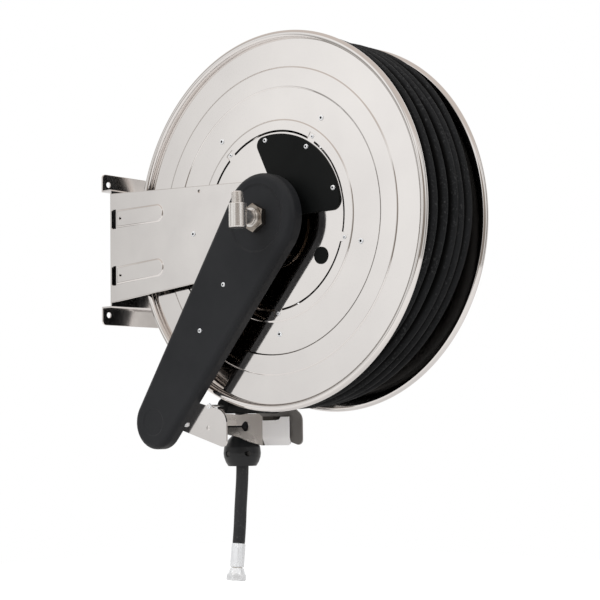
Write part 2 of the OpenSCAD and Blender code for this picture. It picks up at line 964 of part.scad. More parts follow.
// Cup that holds the rewind spring
module spring_case() {
    color(steel)
        at_axle() {
            ring_y(sleeve_y1, case_wall, case_r, sleeve_r - 5);
            ring_y(sleeve_y1, case_y1 - sleeve_y1, case_r, case_r - case_wall);
            ring_y(case_y1, hub_y - hub_t - case_y1, case_r, case_r - 14);
        }
}

// Wound rewind spring, packed against the case
module power_spring() {
    color(zinc)
        at_axle()
            ring_y(arbor_y0, arbor_len, case_r - case_wall - 0.2, 68);
}

// Arbor on the fixed axle that the spring's inner end hooks into
module spring_arbor() {
    color(steel)
        at_axle()
            difference() {
                ring_y(arbor_y0, arbor_len, 21, axle_d / 2);
                translate([15, arbor_y0 - 1, -2])
                    cube([10, arbor_len + 2, 4]);
            }
}

// ---------- ratchet ----------

tooth_count = 12;
ratchet_r = 62;
ratchet_root_r = 54;
ratchet_t = 5;
pawl_gap = 0.2;                        // side clearance of the pawl
pawl_head_t = 1.1;                     // head of the pin under the pawl
pawl_y0 = hub_y + 0.5 + pawl_head_t + pawl_gap;
pawl_t = 4;
pawl_pivot_at = [-92, 32];
pawl_rest_turn = 22;
pawl_pin_r = 4;

// Ratchet wheel on the rear hub disc
module ratchet_wheel() {
    step = 360 / tooth_count;
    color(steel)
        at_axle()
            plate_y(hub_y, ratchet_t)
                difference() {
                    polygon([
                        for (i = [0 : tooth_count - 1])
                            each [
                                ratchet_r * [cos(i * step), sin(i * step)],
                                ratchet_r * [cos((i + 0.25) * step), sin((i + 0.25) * step)],
                                ratchet_root_r * [cos((i + 0.3) * step), sin((i + 0.3) * step)],
                                ratchet_root_r * [cos((i + 0.85) * step), sin((i + 0.85) * step)]
                            ]
                    ]);
                    circle(bearing_r + 4.2);
                }
}

// Pawl in its released position
module pawl() {
    color(steel)
        at_axle()
            plate_y(pawl_y0, pawl_t)
                translate(pawl_pivot_at)
                    rotate(pawl_rest_turn)
                        difference() {
                            union() {
                                circle(9);
                                polygon([[-9, 0], [-2, -30], [8, -40], [11, -36], [9, 0]]);
                            }
                            circle(pawl_pin_r + run_gap);
                        }
}

// Pin that the pawl turns on
module pawl_pin() {
    head_y = pawl_y0 - pawl_gap - pawl_head_t;
    collar_y = pawl_y0 + pawl_t + pawl_gap;
    color(zinc)
        at_axle()
            translate([pawl_pivot_at[0], 0, pawl_pivot_at[1]]) {
                bar_y(head_y, side_in_y - head_y, pawl_pin_r);
                bar_y(head_y, pawl_head_t, pawl_pin_r + 2);
                bar_y(collar_y, side_in_y - collar_y, pawl_pin_r + 2);
            }
}

// Leaf spring on the side plate that presses the pawl
module pawl_leaf() {
    color(zinc)
        at_axle()
            translate([pawl_pivot_at[0] - 12.3, 0, pawl_pivot_at[1]])
                plate_y(pawl_y0, side_in_y - pawl_y0)
                    polygon([[-1, -32], [0.5, -32], [2.9, 0], [3, 14], [1.5, 14], [1.2, 0]]);
}

// ---------- hose ----------

// Inner layers of the wound hose, as a plain body
module hose_core() {
    color(rubber)
        at_axle()
            ring_y(-core_end_y + step_h + soft_gap, 2 * (core_end_y - step_h - soft_gap),
                hose_core_r, core_r + 0.1);
}

coil_exit_a = -149;                   // angle at which the hose leaves the drum
coil_clear_front = 3.05;              // from the outer turns to the flange webs
coil_clear_rear = 7.05;
coil_y0 = coil_clear_front + hose_r + step_h - web_in_y;
coil_y1 = web_in_y - step_h - hose_r - coil_clear_rear;
coil_pitch = (coil_y1 - coil_y0) / coil_turns;
coil_steps = coil_turns * rings_per_turn;

// Centre line of the outer layer; i counts rings back from the exit.
function coil_point(i) =
    let (a = coil_exit_a - 360 * i / rings_per_turn)
    [coil_r * cos(a), coil_y1 - coil_pitch * i / rings_per_turn, coil_r * sin(a)];

function coil_dir(i) =
    let (a = coil_exit_a - 360 * i / rings_per_turn)
    unit([-coil_r * sin(a), coil_pitch / 2 / PI, coil_r * cos(a)]);

coil_path = concat(
    [coil_point(coil_steps) - hose_d * coil_dir(coil_steps)],
    [for (i = [coil_steps : -1 : 0]) coil_point(i)],
    [coil_point(0) + hose_d * coil_dir(0)]
);
coil_dirs = concat(
    [coil_dir(coil_steps)], [for (i = [coil_steps : -1 : 0]) coil_dir(i)], [coil_dir(0)]);

// Least distance between surfaces of turns that lie side by side
coil_gap = min([
    for (i = [0 : len(coil_path) - 1], j = [0 : len(coil_path) - 1])
        if (j - i > rings_per_turn / 2) norm(coil_path[i] - coil_path[j]) - hose_d
]);
echo(least_gap_of_the_winding = coil_gap);

// Outer layer of the wound hose
module hose_coil() {
    color(rubber)
        at_axle()
            swept_tube(coil_path, coil_dirs, [0, 1, 0], hose_r, coil_sides);
}

// The hose from the winding down to the guide
module hose_run() {
    color(rubber)
        at_axle()
            hose_along(run_points, 3, path_dir(tail_points, 0));
}

// ---------- hose guide ----------

// Rear guide plate
module guide_plate_rear() {
    color(steel)
        at_axle()
            difference() {
                plate_y(side_in_y, guide_t)
                    guide_outline(-172, rear_plate_top_z, 16, 0.8);
                for (at = [rod_upper_at, rod_lower_at])
                    translate([at[0], 0, at[1]])
                        bar_y(side_in_y - 1, guide_t + 2, rod_d / 2);
            }
}

// Web between the guide plates, with its saddle and keyhole
module guide_web() {
    color(steel)
        at_axle()
            translate([guide_web_x, 0, 0])
                rotate([90, 0, 90])
                    linear_extrude(guide_t)
                        difference() {
                            polygon([
                                [-side_y, -270], [-58, -272], [-40, -275], [-24, -275],
                                [-8, -272], [20, -276], [side_in_y, -276],
                                [side_in_y, guide_low_z], [guide_web_y, guide_low_z],
                                [-9, -312], [-30, -305], [-50, -301], [-side_y, -301]
                            ]);
                            translate([-12, -290])
                                circle(7.5);
                            translate([-60, -289.5])
                                square([50, 2.5]);
                        }
}

stop_plate_x = -57;                   // right edge of the stop plate
stop_plate_top_z = -281;
stop_plate_lip = 8;
stop_plate_fold = 5;
// Folded plate on the web, with its face to the front
module guide_stop_plate() {
    x0 = guide_web_x + guide_t;
    low_z = guide_low_z + stop_plate_lip;
    face_h = stop_plate_top_z - low_z;
    color(steel)
        at_axle() {
            translate([x0, guide_web_y, low_z])
                cube([guide_t, 30, face_h]);
            plate_y(guide_web_y, guide_t) {
                translate([x0, low_z])
                    square([stop_plate_x - x0, face_h]);
                translate([stop_plate_x - 16, stop_plate_top_z - 1])
                    square([16, 6]);
            }
            translate([stop_plate_x, guide_web_y, low_z])
                rotate([0, -90, 0])
                    linear_extrude(stop_plate_x - x0 - guide_t)
                        polygon([
                            [0, 0], [0, guide_t], [-stop_plate_lip, stop_plate_fold + guide_t],
                            [-stop_plate_lip, stop_plate_fold]
                        ]);
        }
}

// A rod along Y through both guide plates
module rod_at(at) {
    color(zinc)
        at_axle()
            translate([at[0], 0, at[1]])
                bar_y(-arm_back_y - rod_nut_t - 1, arm_back_y + side_y + 2 * rod_nut_t + 2,
                    rod_d / 2);
}

// Rod of the upper roller
module rod_upper() {
    rod_at(rod_upper_at);
}

// Rod of the lower roller
module rod_lower() {
    rod_at(rod_lower_at);
}

// Nuts on both ends of both rods
module rod_nuts() {
    color(zinc)
        at_axle()
            for (at = [rod_upper_at, rod_lower_at])
                translate([at[0], 0, at[1]]) {
                    hex_nut_y(-arm_back_y - rod_nut_t, rod_nut_t, rod_nut_flats, rod_d / 2);
                    hex_nut_y(side_y, rod_nut_t, rod_nut_flats, rod_d / 2);
                }
}

// A guide roller round its rod
module roller_at(at, roller_d) {
    color(black)
        at_axle()
            translate([at[0], 0, at[1]])
                ring_y(-roller_len / 2, roller_len, roller_d / 2, rod_d / 2 + run_gap);
}

// Upper guide roller
module roller_upper() {
    roller_at(rod_upper_at, upper_roller_d);
}

// Lower guide roller
module roller_lower() {
    roller_at(rod_lower_at, lower_roller_d);
}

// ---------- free end of the hose ----------

// Free stretch of the hose
module hose_tail() {
    color(rubber)
        at_axle()
            hose_along(tail_points, 1, end_dir);
}

// Barrel outline of the hose stop: radius and height over its widest ring.
module stop_section() {
    r = stop_d / 2;
    top = stop_top_z - stop_z;
    low = top - stop_h;
    polygon([
        [0, low], [r - 7, low], [r - 3.5, low + 5.5], [r - 0.8, low + 13], [r, 0],
        [r - 1, top - 17], [r - 4, top - 11], [r - 8, top - 5], [r - 13, top], [0, top]
    ]);
}

// One half of the hose stop; side is 0 for the front and 1 for the back.
module stop_half(side) {
    color(black)
        at_axle()
            translate([hose_exit_x, hose_exit_y, stop_z])
                rotate([0, 0, stop_turn + 180 * side])
                    difference() {
                        rotate_extrude(start = 180, angle = 180)
                            difference() {
                                stop_section();
                                translate([-1, -stop_h])
                                    square([hose_r + 1.1, 2 * stop_h]);
                            }
                        for (x = [-1, 1])
                            translate([x * stop_screw_x, 0, stop_screw_z]) {
                                bar_y(-stop_d, stop_d + 1, screw_d / 2);
                                bar_y(-stop_d, stop_d - 14, screw_head_d / 2 + 0.6);
                            }
                    }
}
stop_screw_x = 15.5;
stop_screw_z = -0.5;

// Front half of the hose stop
module hose_stop_front() {
    stop_half(0);
}

// Back half of the hose stop
module hose_stop_back() {
    stop_half(1);
}

// Screws that clamp the hose stop
module hose_stop_screws() {
    color(zinc)
        at_axle()
            translate([hose_exit_x, hose_exit_y, stop_z])
                rotate([0, 0, stop_turn])
                    for (x = [-1, 1])
                        translate([x * stop_screw_x, 0, stop_screw_z]) {
                            bar_y(-14 - 4, 4, screw_head_d / 2);
                            bar_y(-14, 28, screw_d / 2);
                            bar_y(14, 3.2, 3.5);
                        }
}

// Draws down the leaning axis of the hose end, from the hose's cut end.
module at_hose_end() {
    at_axle()
        translate(tail_end)
            rotate([180 - end_tilt, 0, 0])
                children();
}

bore_r = 4.5;
crimp_depth = 0.5;
ferrule_r = hose_r + 0.4;
// Crimped ferrule on the hose end
module hose_ferrule() {
    color(zinc)
        at_hose_end()
            difference() {
                cylinder(h = ferrule_len, r = ferrule_r);
                translate([0, 0, -1])
                    cylinder(h = ferrule_len + 2, r = bore_r);
                translate([0, 0, ferrule_len - 9])
                    difference() {
                        cylinder(h = 4, r = ferrule_r + 1);
                        cylinder(h = 4, r = ferrule_r - crimp_depth);
                    }
            }
}

insert_r = 7;
insert_len = 11;
// Insert that the hose nut turns on
module hose_insert() {
    color(zinc)
        at_hose_end()
            translate([0, 0, ferrule_len])
                difference() {
                    cylinder(h = insert_len, r = insert_r);
                    translate([0, 0, -1])
                        cylinder(h = insert_len + 2, r = bore_r);
                }
}

nut_thread_r = 8.4;
nut_end_gap = 0.3;
nut_neck_r = 10.5;
nut_neck_len = 7;
// Nut at the end of the hose, with its inside thread
module hose_nut() {
    color(zinc)
        at_hose_end()
            translate([0, 0, ferrule_len + nut_end_gap])
                difference() {
                    union() {
                        cylinder(h = nut_neck_len, r = nut_neck_r);
                        translate([0, 0, nut_neck_len])
                            cylinder(h = hose_nut_len - nut_neck_len,
                                r = hose_nut_flats / sqrt(3), $fn = 6);
                    }
                    translate([0, 0, -1])
                        cylinder(h = hose_nut_len + 2, r = insert_r + run_gap);
                    translate([0, 0, insert_len + 0.5])
                        cylinder(h = hose_nut_len, r = nut_thread_r);
                }
}

// ---------- drawing ----------

wall_bracket();
bracket_rivets();
axle();
axle_nut_front();
axle_nut_rear();
axle_washer_rear();
swivel_collar();
inlet_elbow();
arm_plate();
arm_bolts();
arm_cover();
arm_cover_screws();
front_flange();
rear_flange();
drum_core();
flange_rivets_front();
flange_rivets_rear();
hub_disc_front();
hub_disc_rear();
hub_screws_front();
hub_screws_rear();
hub_cover();
hub_cover_screws();
hub_plug();
hub_sleeve();
bearing_front();
bearing_rear();
swivel_seals();
feed_pipe();
feed_fitting();
spring_case();
power_spring();
spring_arbor();
ratchet_wheel();
pawl();
pawl_pin();
pawl_leaf();
hose_core();
hose_coil();
hose_run();
guide_plate_rear();
guide_web();
guide_stop_plate();
rod_upper();
rod_lower();
rod_nuts();
roller_upper();
roller_lower();
hose_tail();
hose_stop_front();
hose_stop_back();
hose_stop_screws();
hose_ferrule();
hose_insert();
hose_nut();
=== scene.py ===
# %% [markdown]
# # A wall-mounted spring-rewind hose reel, piece by piece
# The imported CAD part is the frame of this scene: it says where every sheet, shaft and hose lies.
# Here the reel gets its looks: spun stainless flanges, moulded black plastic, scuffed rubber hose
# and turned fittings. Everything is in metres, in the frame of the CAD part.

import bmesh
import bpy
import numpy as np
from mathutils import Matrix, Vector
from mathutils.geometry import delaunay_2d_cdt


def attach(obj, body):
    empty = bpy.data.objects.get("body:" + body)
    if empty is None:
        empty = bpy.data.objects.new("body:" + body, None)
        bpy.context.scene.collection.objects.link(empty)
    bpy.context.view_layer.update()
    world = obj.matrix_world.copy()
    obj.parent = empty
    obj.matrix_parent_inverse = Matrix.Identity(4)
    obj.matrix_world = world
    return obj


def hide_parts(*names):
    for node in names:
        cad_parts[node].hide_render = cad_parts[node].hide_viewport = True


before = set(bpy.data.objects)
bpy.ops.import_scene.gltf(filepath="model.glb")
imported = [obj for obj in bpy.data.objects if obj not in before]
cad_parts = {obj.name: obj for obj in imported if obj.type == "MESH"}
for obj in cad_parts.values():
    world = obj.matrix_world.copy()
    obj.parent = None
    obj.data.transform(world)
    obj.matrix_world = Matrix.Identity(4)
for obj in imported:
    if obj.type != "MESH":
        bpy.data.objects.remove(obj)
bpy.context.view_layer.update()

# %% [markdown]
# ## The camera
# A long lens stands to the right of the reel and a little below its axle, and looks slightly up.
# A Track To constraint could aim it, but here its place and its three directions are written as
# a matrix, so there is nothing to aim and its slight roll is kept. The lens is given in
# millimetres for a sensor 36 mm wide.

# %% Camera
MM = 0.001
AXLE = np.array([0.345, 0.0, 0.012])
camera_right = (0.7572, 0.6531, -0.0147)
camera_up = (0.0656, -0.0536, 0.9964)
camera_back = (0.6499, -0.7554, -0.0834)
camera_at = AXLE + (1.4206, -1.6641, -0.2922)
camera_data = bpy.data.cameras.new("view")
camera_data.sensor_width = 36.0
camera_data.lens = 91.36
camera_data.clip_start = 0.05
camera_data.clip_end = 60.0


def in_scene(name, data):
    """A new object that shows data, in the scene."""
    made = bpy.data.objects.new(name, data)
    bpy.context.scene.collection.objects.link(made)
    return made


camera = in_scene("view", camera_data)
camera.matrix_world = Matrix(
    [list(row) for row in zip(camera_right, camera_up, camera_back, camera_at)] + [[0, 0, 0, 1]]
)
bpy.context.scene.camera = camera
print("camera at", np.round(camera_at, 3).tolist())

# %% [markdown]
# ## Finishes
# Spun stainless has fine rings round the axle, folded sheet has straight grain, mouldings have a
# fine grain of specks, and rubber has scuffs. Each of these effects is a node group with named
# sockets. A finish places a group, mixes two colours and two roughnesses with its cloud, and
# sends its height through a Bump node, so no surface is one flat colour. Painted images could
# carry such marks too, but they need unwrapping and blur near by, and these nodes do neither.

# %% A node group with named sockets
SOCKETS = {"F": "NodeSocketFloat", "V": "NodeSocketVector"}


def new_group(name, inputs, outputs):
    """A node group with the named sockets, and its input and output nodes."""
    tree = bpy.data.node_groups.new(name, "ShaderNodeTree")
    for label, kind, value in inputs:
        socket = tree.interface.new_socket(label, in_out="INPUT", socket_type=SOCKETS[kind])
        if value is not None:
            socket.default_value = value
    for label in outputs:
        tree.interface.new_socket(label, in_out="OUTPUT", socket_type="NodeSocketFloat")
    return tree, tree.nodes.new("NodeGroupInput").outputs, tree.nodes.new("NodeGroupOutput").inputs


# %% Node helpers
def node(tree, kind, inputs=None, **settings):
    """A new node with its settings, its inputs filled with values or linked to sockets."""
    made = tree.nodes.new("ShaderNode" + kind)
    for key, value in settings.items():
        setattr(made, key, value)
    for key, value in (inputs or {}).items():
        if isinstance(value, bpy.types.NodeSocket):
            tree.links.new(value, made.inputs[key])
        else:
            made.inputs[key].default_value = value
    return made


def maths(tree, operation, a, b=0.0):
    """The result of one Math node."""
    return node(tree, "Math", {0: a, 1: b}, operation=operation).outputs[0]


def measured(tree, operation, a, b):
    """The number that one Vector Math node finds for two vectors."""
    return node(tree, "VectorMath", {0: a, 1: b}, operation=operation).outputs["Value"]


def noise(tree, place, scale, detail=3.0, roughness=0.55):
    """The value of a Noise Texture at a place."""
    values = {"Vector": place, "Scale": scale, "Detail": detail, "Roughness": roughness}
    return node(tree, "TexNoise", values).outputs[0]


def ramp(tree, value, low, high, to_low=0.0, to_high=1.0):
    """A value mapped from low..high to to_low..to_high, and held there."""
    values = {"Value": value, "From Min": low, "From Max": high, "To Min": to_low, "To Max": to_high}
    return node(tree, "MapRange", values).outputs[0]


def send_out(tree, result, **sockets):
    """Links each socket to the group's output of the same name."""
    for label, socket in sockets.items():
        tree.links.new(socket, result[label])
    print("group", tree.name, "gives", ", ".join(sockets))


# %% Grain of the spun flanges
spun_grain, given, result = new_group(
    "SpunGrain", [("Place", "V", None), ("Rings", "F", 700.0)], ["Height", "Cloud"]
)
xyz = node(spun_grain, "SeparateXYZ", {0: given["Place"]}).outputs
squares = [maths(spun_grain, "MULTIPLY", xyz[way], xyz[way]) for way in "XZ"]
from_axle = maths(spun_grain, "SQRT", maths(spun_grain, "ADD", *squares))
wander = maths(spun_grain, "MULTIPLY", noise(spun_grain, given["Place"], 6.0), 0.4)
rings_out = maths(spun_grain, "MULTIPLY", from_axle, given["Rings"])
ring_values = {"W": maths(spun_grain, "ADD", rings_out, wander), "Scale": 1.0, "Detail": 3.0}
ring_noise = node(spun_grain, "TexNoise", ring_values, noise_dimensions="1D").outputs[0]
send_out(spun_grain, result, Height=ring_noise, Cloud=noise(spun_grain, given["Place"], 8.0, 5.0))

# %% Grain of folded and turned steel
straight_grain, given, result = new_group(
    "StraightGrain", [("Place", "V", None), ("Stretch", "V", (8.0, 700.0, 700.0))], ["Height", "Cloud"]
)
stretched = node(
    straight_grain, "VectorMath", {0: given["Place"], 1: given["Stretch"]}, operation="MULTIPLY"
).outputs[0]
send_out(
    straight_grain, result, Height=noise(straight_grain, stretched, 1.0, 3.0, 0.6),
    Cloud=noise(straight_grain, given["Place"], 16.0, 5.0),
)

# %% Grain of mouldings
mould_grain, given, result = new_group(
    "MouldGrain", [("Place", "V", None), ("Specks", "F", 900.0)], ["Height", "Cloud"]
)
send_out(
    mould_grain, result, Height=noise(mould_grain, given["Place"], given["Specks"], 2.0),
    Cloud=noise(mould_grain, given["Place"], 12.0, 6.0, 0.6),
)

# %% Scuffs of rubber
scuffs, given, result = new_group(
    "Scuffs",
    [("Place", "V", None), ("Specks", "F", 700.0), ("Amount", "F", 0.5)],
    ["Height", "Cloud", "Mask"],
)
patches = noise(scuffs, given["Place"], 22.0, 4.0, 0.6)
scratch = noise(scuffs, given["Place"], 260.0, 5.0, 0.75)
edge = maths(scuffs, "SUBTRACT", 0.78, maths(scuffs, "MULTIPLY", given["Amount"], 0.2))
patchy = maths(scuffs, "ADD", scratch, maths(scuffs, "MULTIPLY", patches, 0.25))
specks = noise(scuffs, given["Place"], given["Specks"], 3.0)
send_out(scuffs, result, Height=specks, Cloud=patches, Mask=ramp(scuffs, patchy, edge, 0.86))

# %% Dust on faces that look up
dust, given, result = new_group("Dust", [("Place", "V", None), ("Amount", "F", 0.3)], ["Mask"])
up = node(dust, "SeparateXYZ", {0: node(dust, "NewGeometry").outputs["Normal"]}).outputs["Z"]
settled = maths(dust, "MULTIPLY", ramp(dust, up, 0.2, 1.0), noise(dust, given["Place"], 120.0, 5.0, 0.7))
send_out(dust, result, Mask=maths(dust, "MULTIPLY", settled, given["Amount"]))


# %% Two colours mixed by a mask
def mixed(tree, mask, a, b):
    """Colour a where the mask is 0, and b where it is 1."""
    a, b = [c if isinstance(c, bpy.types.NodeSocket) else (*c, 1.0) for c in (a, b)]
    return node(tree, "Mix", {0: mask, 6: a, 7: b}, data_type="RGBA").outputs[2]


# %% From a group to a finish
DUST_COLOUR = (0.42, 0.40, 0.37)


def finish(
    name, grain, colours, rough, metallic, bump,
    centre=None, worn=None, dusty=0.0, shine=0.5, shade_colour=None, shade_mask=None, **sockets
):
    """A material: the grain's cloud mixes two colours and two roughnesses, its height bumps the
    surface by bump metres, its mask (if any) brings out the worn colour, and dust settles on top.
    shine is the level of its highlights, and shade_colour the colour of painted shade (with a greasy tone
    near the hub) where a piece's attribute deep or the mask that shade_mask gives for a place is 1."""
    material = bpy.data.materials.new(name)
    material.use_nodes = True
    tree = material.node_tree
    shader = tree.nodes["Principled BSDF"]
    place = node(tree, "TexCoord").outputs["Object"]
    if centre is not None:
        place = node(tree, "Mapping", {"Vector": place, "Location": tuple(-centre)}).outputs[0]
    texture = node(tree, "Group", node_tree=grain, inputs={"Place": place, **sockets})
    cloud = ramp(tree, texture.outputs["Cloud"], 0.32, 0.68)
    colour = mixed(tree, cloud, *colours)
    roughness = ramp(tree, cloud, 0.0, 1.0, *rough)
    if worn is not None:
        colour = mixed(tree, texture.outputs["Mask"], colour, worn)
        roughness = maths(tree, "ADD", roughness, maths(tree, "MULTIPLY", texture.outputs["Mask"], 0.2))
    if dusty:
        layer = node(tree, "Group", node_tree=dust, inputs={"Place": place, "Amount": dusty})
        colour = mixed(tree, layer.outputs["Mask"], colour, DUST_COLOUR)
        roughness = maths(tree, "ADD", roughness, layer.outputs["Mask"])
    # Painted shade: a darker colour where the attribute deep or the given mask is 1.
    if shade_colour is not None:
        deep = node(tree, "Attribute", attribute_name="deep").outputs["Fac"]
        if shade_mask is not None:
            deep = maths(tree, "MAXIMUM", deep, shade_mask(tree, place))
        colour = mixed(tree, deep, colour, shade_colour)
    tree.links.new(colour, shader.inputs["Base Color"])
    tree.links.new(roughness, shader.inputs["Roughness"])
    shader.inputs["Metallic"].default_value = metallic
    shader.inputs["Specular IOR Level"].default_value = shine
    relief = node(tree, "Bump", {"Height": texture.outputs["Height"], "Strength": 1.0, "Distance": bump})
    tree.links.new(relief.outputs[0], shader.inputs["Normal"])
    print("finish", name, "has", len(tree.nodes), "nodes")
    return material


# %% Where metal gets painted shade and grease
def shaded_near_hub(tree, place):
    """1 within some 59 mm of the axle on the front side plate, behind the arm's cover, where shade and grease
    are painted.
    """
    hub = tuple(AXLE + np.array([0.0, -0.082, 0.0]))
    return ramp(tree, measured(tree, "DISTANCE", place, hub), 0.058, 0.061, 1.0, 0.0)


def shaded_under_cover(tree, place):
    """1 on the part of the arm's plate that lies behind the arm's cover, where shade and grease are painted.
    """
    return ramp(tree, node(tree, "SeparateXYZ", {0: place}).outputs["Z"], -0.193, -0.183)


# %% Sheet metals
STEEL_PALE, STEEL_DEEP = (0.895, 0.87, 0.85), (0.84, 0.815, 0.80)
# Colours of painted shade: a dark one, and a greasy dark one for the metal behind the arm's cover.
PAINTED_SHADE, SHADE_AND_GREASE = (0.05, 0.045, 0.04), (0.17, 0.14, 0.115)
spun_steel = finish(
    "spun_steel", spun_grain, (STEEL_PALE, STEEL_DEEP), (0.05, 0.1), 1.0, 2e-6, centre=AXLE
)
# The bracket and the arm's plate get painted shade with a greasy tone behind the arm's cover.
sheet_steel, bracket_steel, plate_steel = [
    finish(name, straight_grain, (STEEL_PALE, STEEL_DEEP), (0.1, 0.16), 1.0, 3e-6, shade_colour=dark, shade_mask=mask)
    for name, dark, mask in (
        ("sheet_steel", PAINTED_SHADE, None), ("bracket_steel", SHADE_AND_GREASE, shaded_near_hub),
        ("plate_steel", SHADE_AND_GREASE, shaded_under_cover),
    )
]
# A brighter, matt copy of the steel: painted light for the stop plate, which lies in shade under the drum.
brightened_steel = finish(
    "brightened_steel", straight_grain, ((0.97, 0.945, 0.93), (0.92, 0.895, 0.88)), (0.4, 0.5), 0.1, 3e-6
)
# A darker copy of the steel: painted shade on the guide web deep under the drum, darker still as painted
# shadow where the attribute deep is 1.
shade_steel = finish(
    "shade_steel", straight_grain, ((0.54, 0.51, 0.475), (0.45, 0.42, 0.395)), (0.22, 0.32), 0.8, 3e-6,
    shade_colour=PAINTED_SHADE,
)
# A darker, duller copy of the steel: painted shade and painted dark reflection for the rear guide plate deep
# under the drum.
shaded_rear_steel = finish(
    "shaded_rear_steel", straight_grain, ((0.30, 0.28, 0.262), (0.24, 0.224, 0.21)), (0.34, 0.44), 0.3, 3e-6
)

# %% Metals of turned and small parts
turned_steel = finish(
    "turned_steel", straight_grain, ((0.95, 0.93, 0.905), (0.88, 0.86, 0.835)), (0.24, 0.3), 0.93, 4e-6,
    Stretch=(60.0, 60.0, 900.0),
)
dull_steel = finish(
    "dull_steel", straight_grain, ((0.40, 0.36, 0.32), (0.32, 0.285, 0.25)), (0.16, 0.26), 1.0, 5e-6,
    Stretch=(60.0, 60.0, 900.0),
)
# Where a piece's attribute deep is 1 it turns near black: painted shade in the recesses of screw and rivet
# heads.
zinc = finish(
    "zinc", mould_grain, ((0.96, 0.97, 0.98), (0.88, 0.90, 0.92)), (0.24, 0.36), 0.35, 5e-6,
    shade_colour=(0.03, 0.03, 0.03), Specks=500.0,
)
# A darkened copy of the zinc: painted shade for the hose stop's screws deep in their holes.
shaded_zinc = finish(
    "shaded_zinc", mould_grain, ((0.12, 0.12, 0.12), (0.07, 0.07, 0.07)), (0.3, 0.42), 1.0, 5e-6, Specks=500.0
)
spring_steel = finish(
    "spring_steel", straight_grain, ((0.20, 0.20, 0.21), (0.12, 0.12, 0.13)), (0.3, 0.45), 1.0, 5e-6
)
brass = finish(
    "brass", mould_grain, ((0.72, 0.52, 0.24), (0.60, 0.42, 0.19)), (0.22, 0.36), 1.0, 5e-6, Specks=600.0
)

# %% Plastics and rubber
arm_black = finish(
    "arm_black", mould_grain, ((0.020, 0.021, 0.023), (0.015, 0.016, 0.018)), (0.42, 0.54), 0.0, 2.5e-5,
    dusty=0.04, shine=0.22,
)
hub_black = finish(
    "hub_black", mould_grain, ((0.0065, 0.0072, 0.007), (0.0045, 0.005, 0.005)), (0.38, 0.5), 0.0, 1.5e-5,
    shine=0.1,
)
stop_black = finish(
    "stop_black", mould_grain, ((0.012, 0.013, 0.014), (0.008, 0.009, 0.010)), (0.3, 0.42), 0.0, 1e-5,
    shine=0.45,
)
hose_rubber = finish(
    "hose_rubber", scuffs, ((0.022, 0.023, 0.025), (0.015, 0.016, 0.017)), (0.42, 0.58), 0.0, 3e-5,
    worn=(0.10, 0.10, 0.10), shine=0.4,
)
# Where the attribute deep is 1, down the sides of each turn, it turns near black: painted shade where turns
# meet.
wound_rubber = finish(
    "wound_rubber", scuffs, ((0.018, 0.0185, 0.0195), (0.013, 0.0135, 0.014)), (0.55, 0.7), 0.0, 3e-5,
    worn=(0.08, 0.08, 0.08), shine=0.06, shade_colour=(0.003, 0.003, 0.003),
)
inner_rubber = finish(
    "inner_rubber", scuffs, ((0.024, 0.0235, 0.0225), (0.018, 0.0175, 0.017)), (0.5, 0.65), 0.0, 3e-5,
    shine=0.1, Amount=0.1,
)

# %% Every CAD piece gets its finish
FINISHES = {
    spun_steel: "hub_disc_front hub_disc_rear front_flange rear_flange drum_core spring_case",
    bracket_steel: "wall_bracket",
    plate_steel: "arm_plate",
    sheet_steel: "guide_web bearing_front bearing_rear hub_sleeve ratchet_wheel pawl",
    brightened_steel: "guide_stop_plate",
    shaded_rear_steel: "guide_plate_rear",
    turned_steel: "swivel_collar inlet_elbow rod_upper rod_lower spring_arbor",
    dull_steel: "axle axle_nut_front axle_nut_rear axle_washer_rear",
    zinc: """bracket_rivets arm_bolts arm_cover_screws flange_rivets_front flange_rivets_rear
        hub_screws_front hub_screws_rear hub_cover_screws rod_nuts hose_ferrule hose_nut pawl_pin
        pawl_leaf feed_pipe""",
    shaded_zinc: "hose_stop_screws",
    spring_steel: "power_spring",
    brass: "feed_fitting hose_insert",
    arm_black: "arm_cover",
    hub_black: "hub_cover hub_plug swivel_seals roller_upper roller_lower",
    stop_black: "hose_stop_front hose_stop_back",
    hose_rubber: "hose_run hose_tail",
    wound_rubber: "hose_coil",
    inner_rubber: "hose_core",
}
for material, names in FINISHES.items():
    for name in names.split():
        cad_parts[name].data.materials.clear()
        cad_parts[name].data.materials.append(material)
unfinished = set(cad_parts) - {n for names in FINISHES.values() for n in names.split()}
print("CAD pieces without a finish:", sorted(unfinished))

# %% [markdown]
# ## Small tools for shapes
# Nearly every piece here is one of three things: a profile turned round an axis, a ring carried
# along a path, or a flat sheet with rounded edges. Modifiers on plain solids could come close,
# but with points worked out by numpy each bend and step has the size it should have. One helper
# skins the points with faces and prints how many.


# %% From points to a piece
def at_axle(points):
    """Millimetres from the drum's centre become metres in the part's frame."""
    return AXLE + MM * np.asarray(points, float)


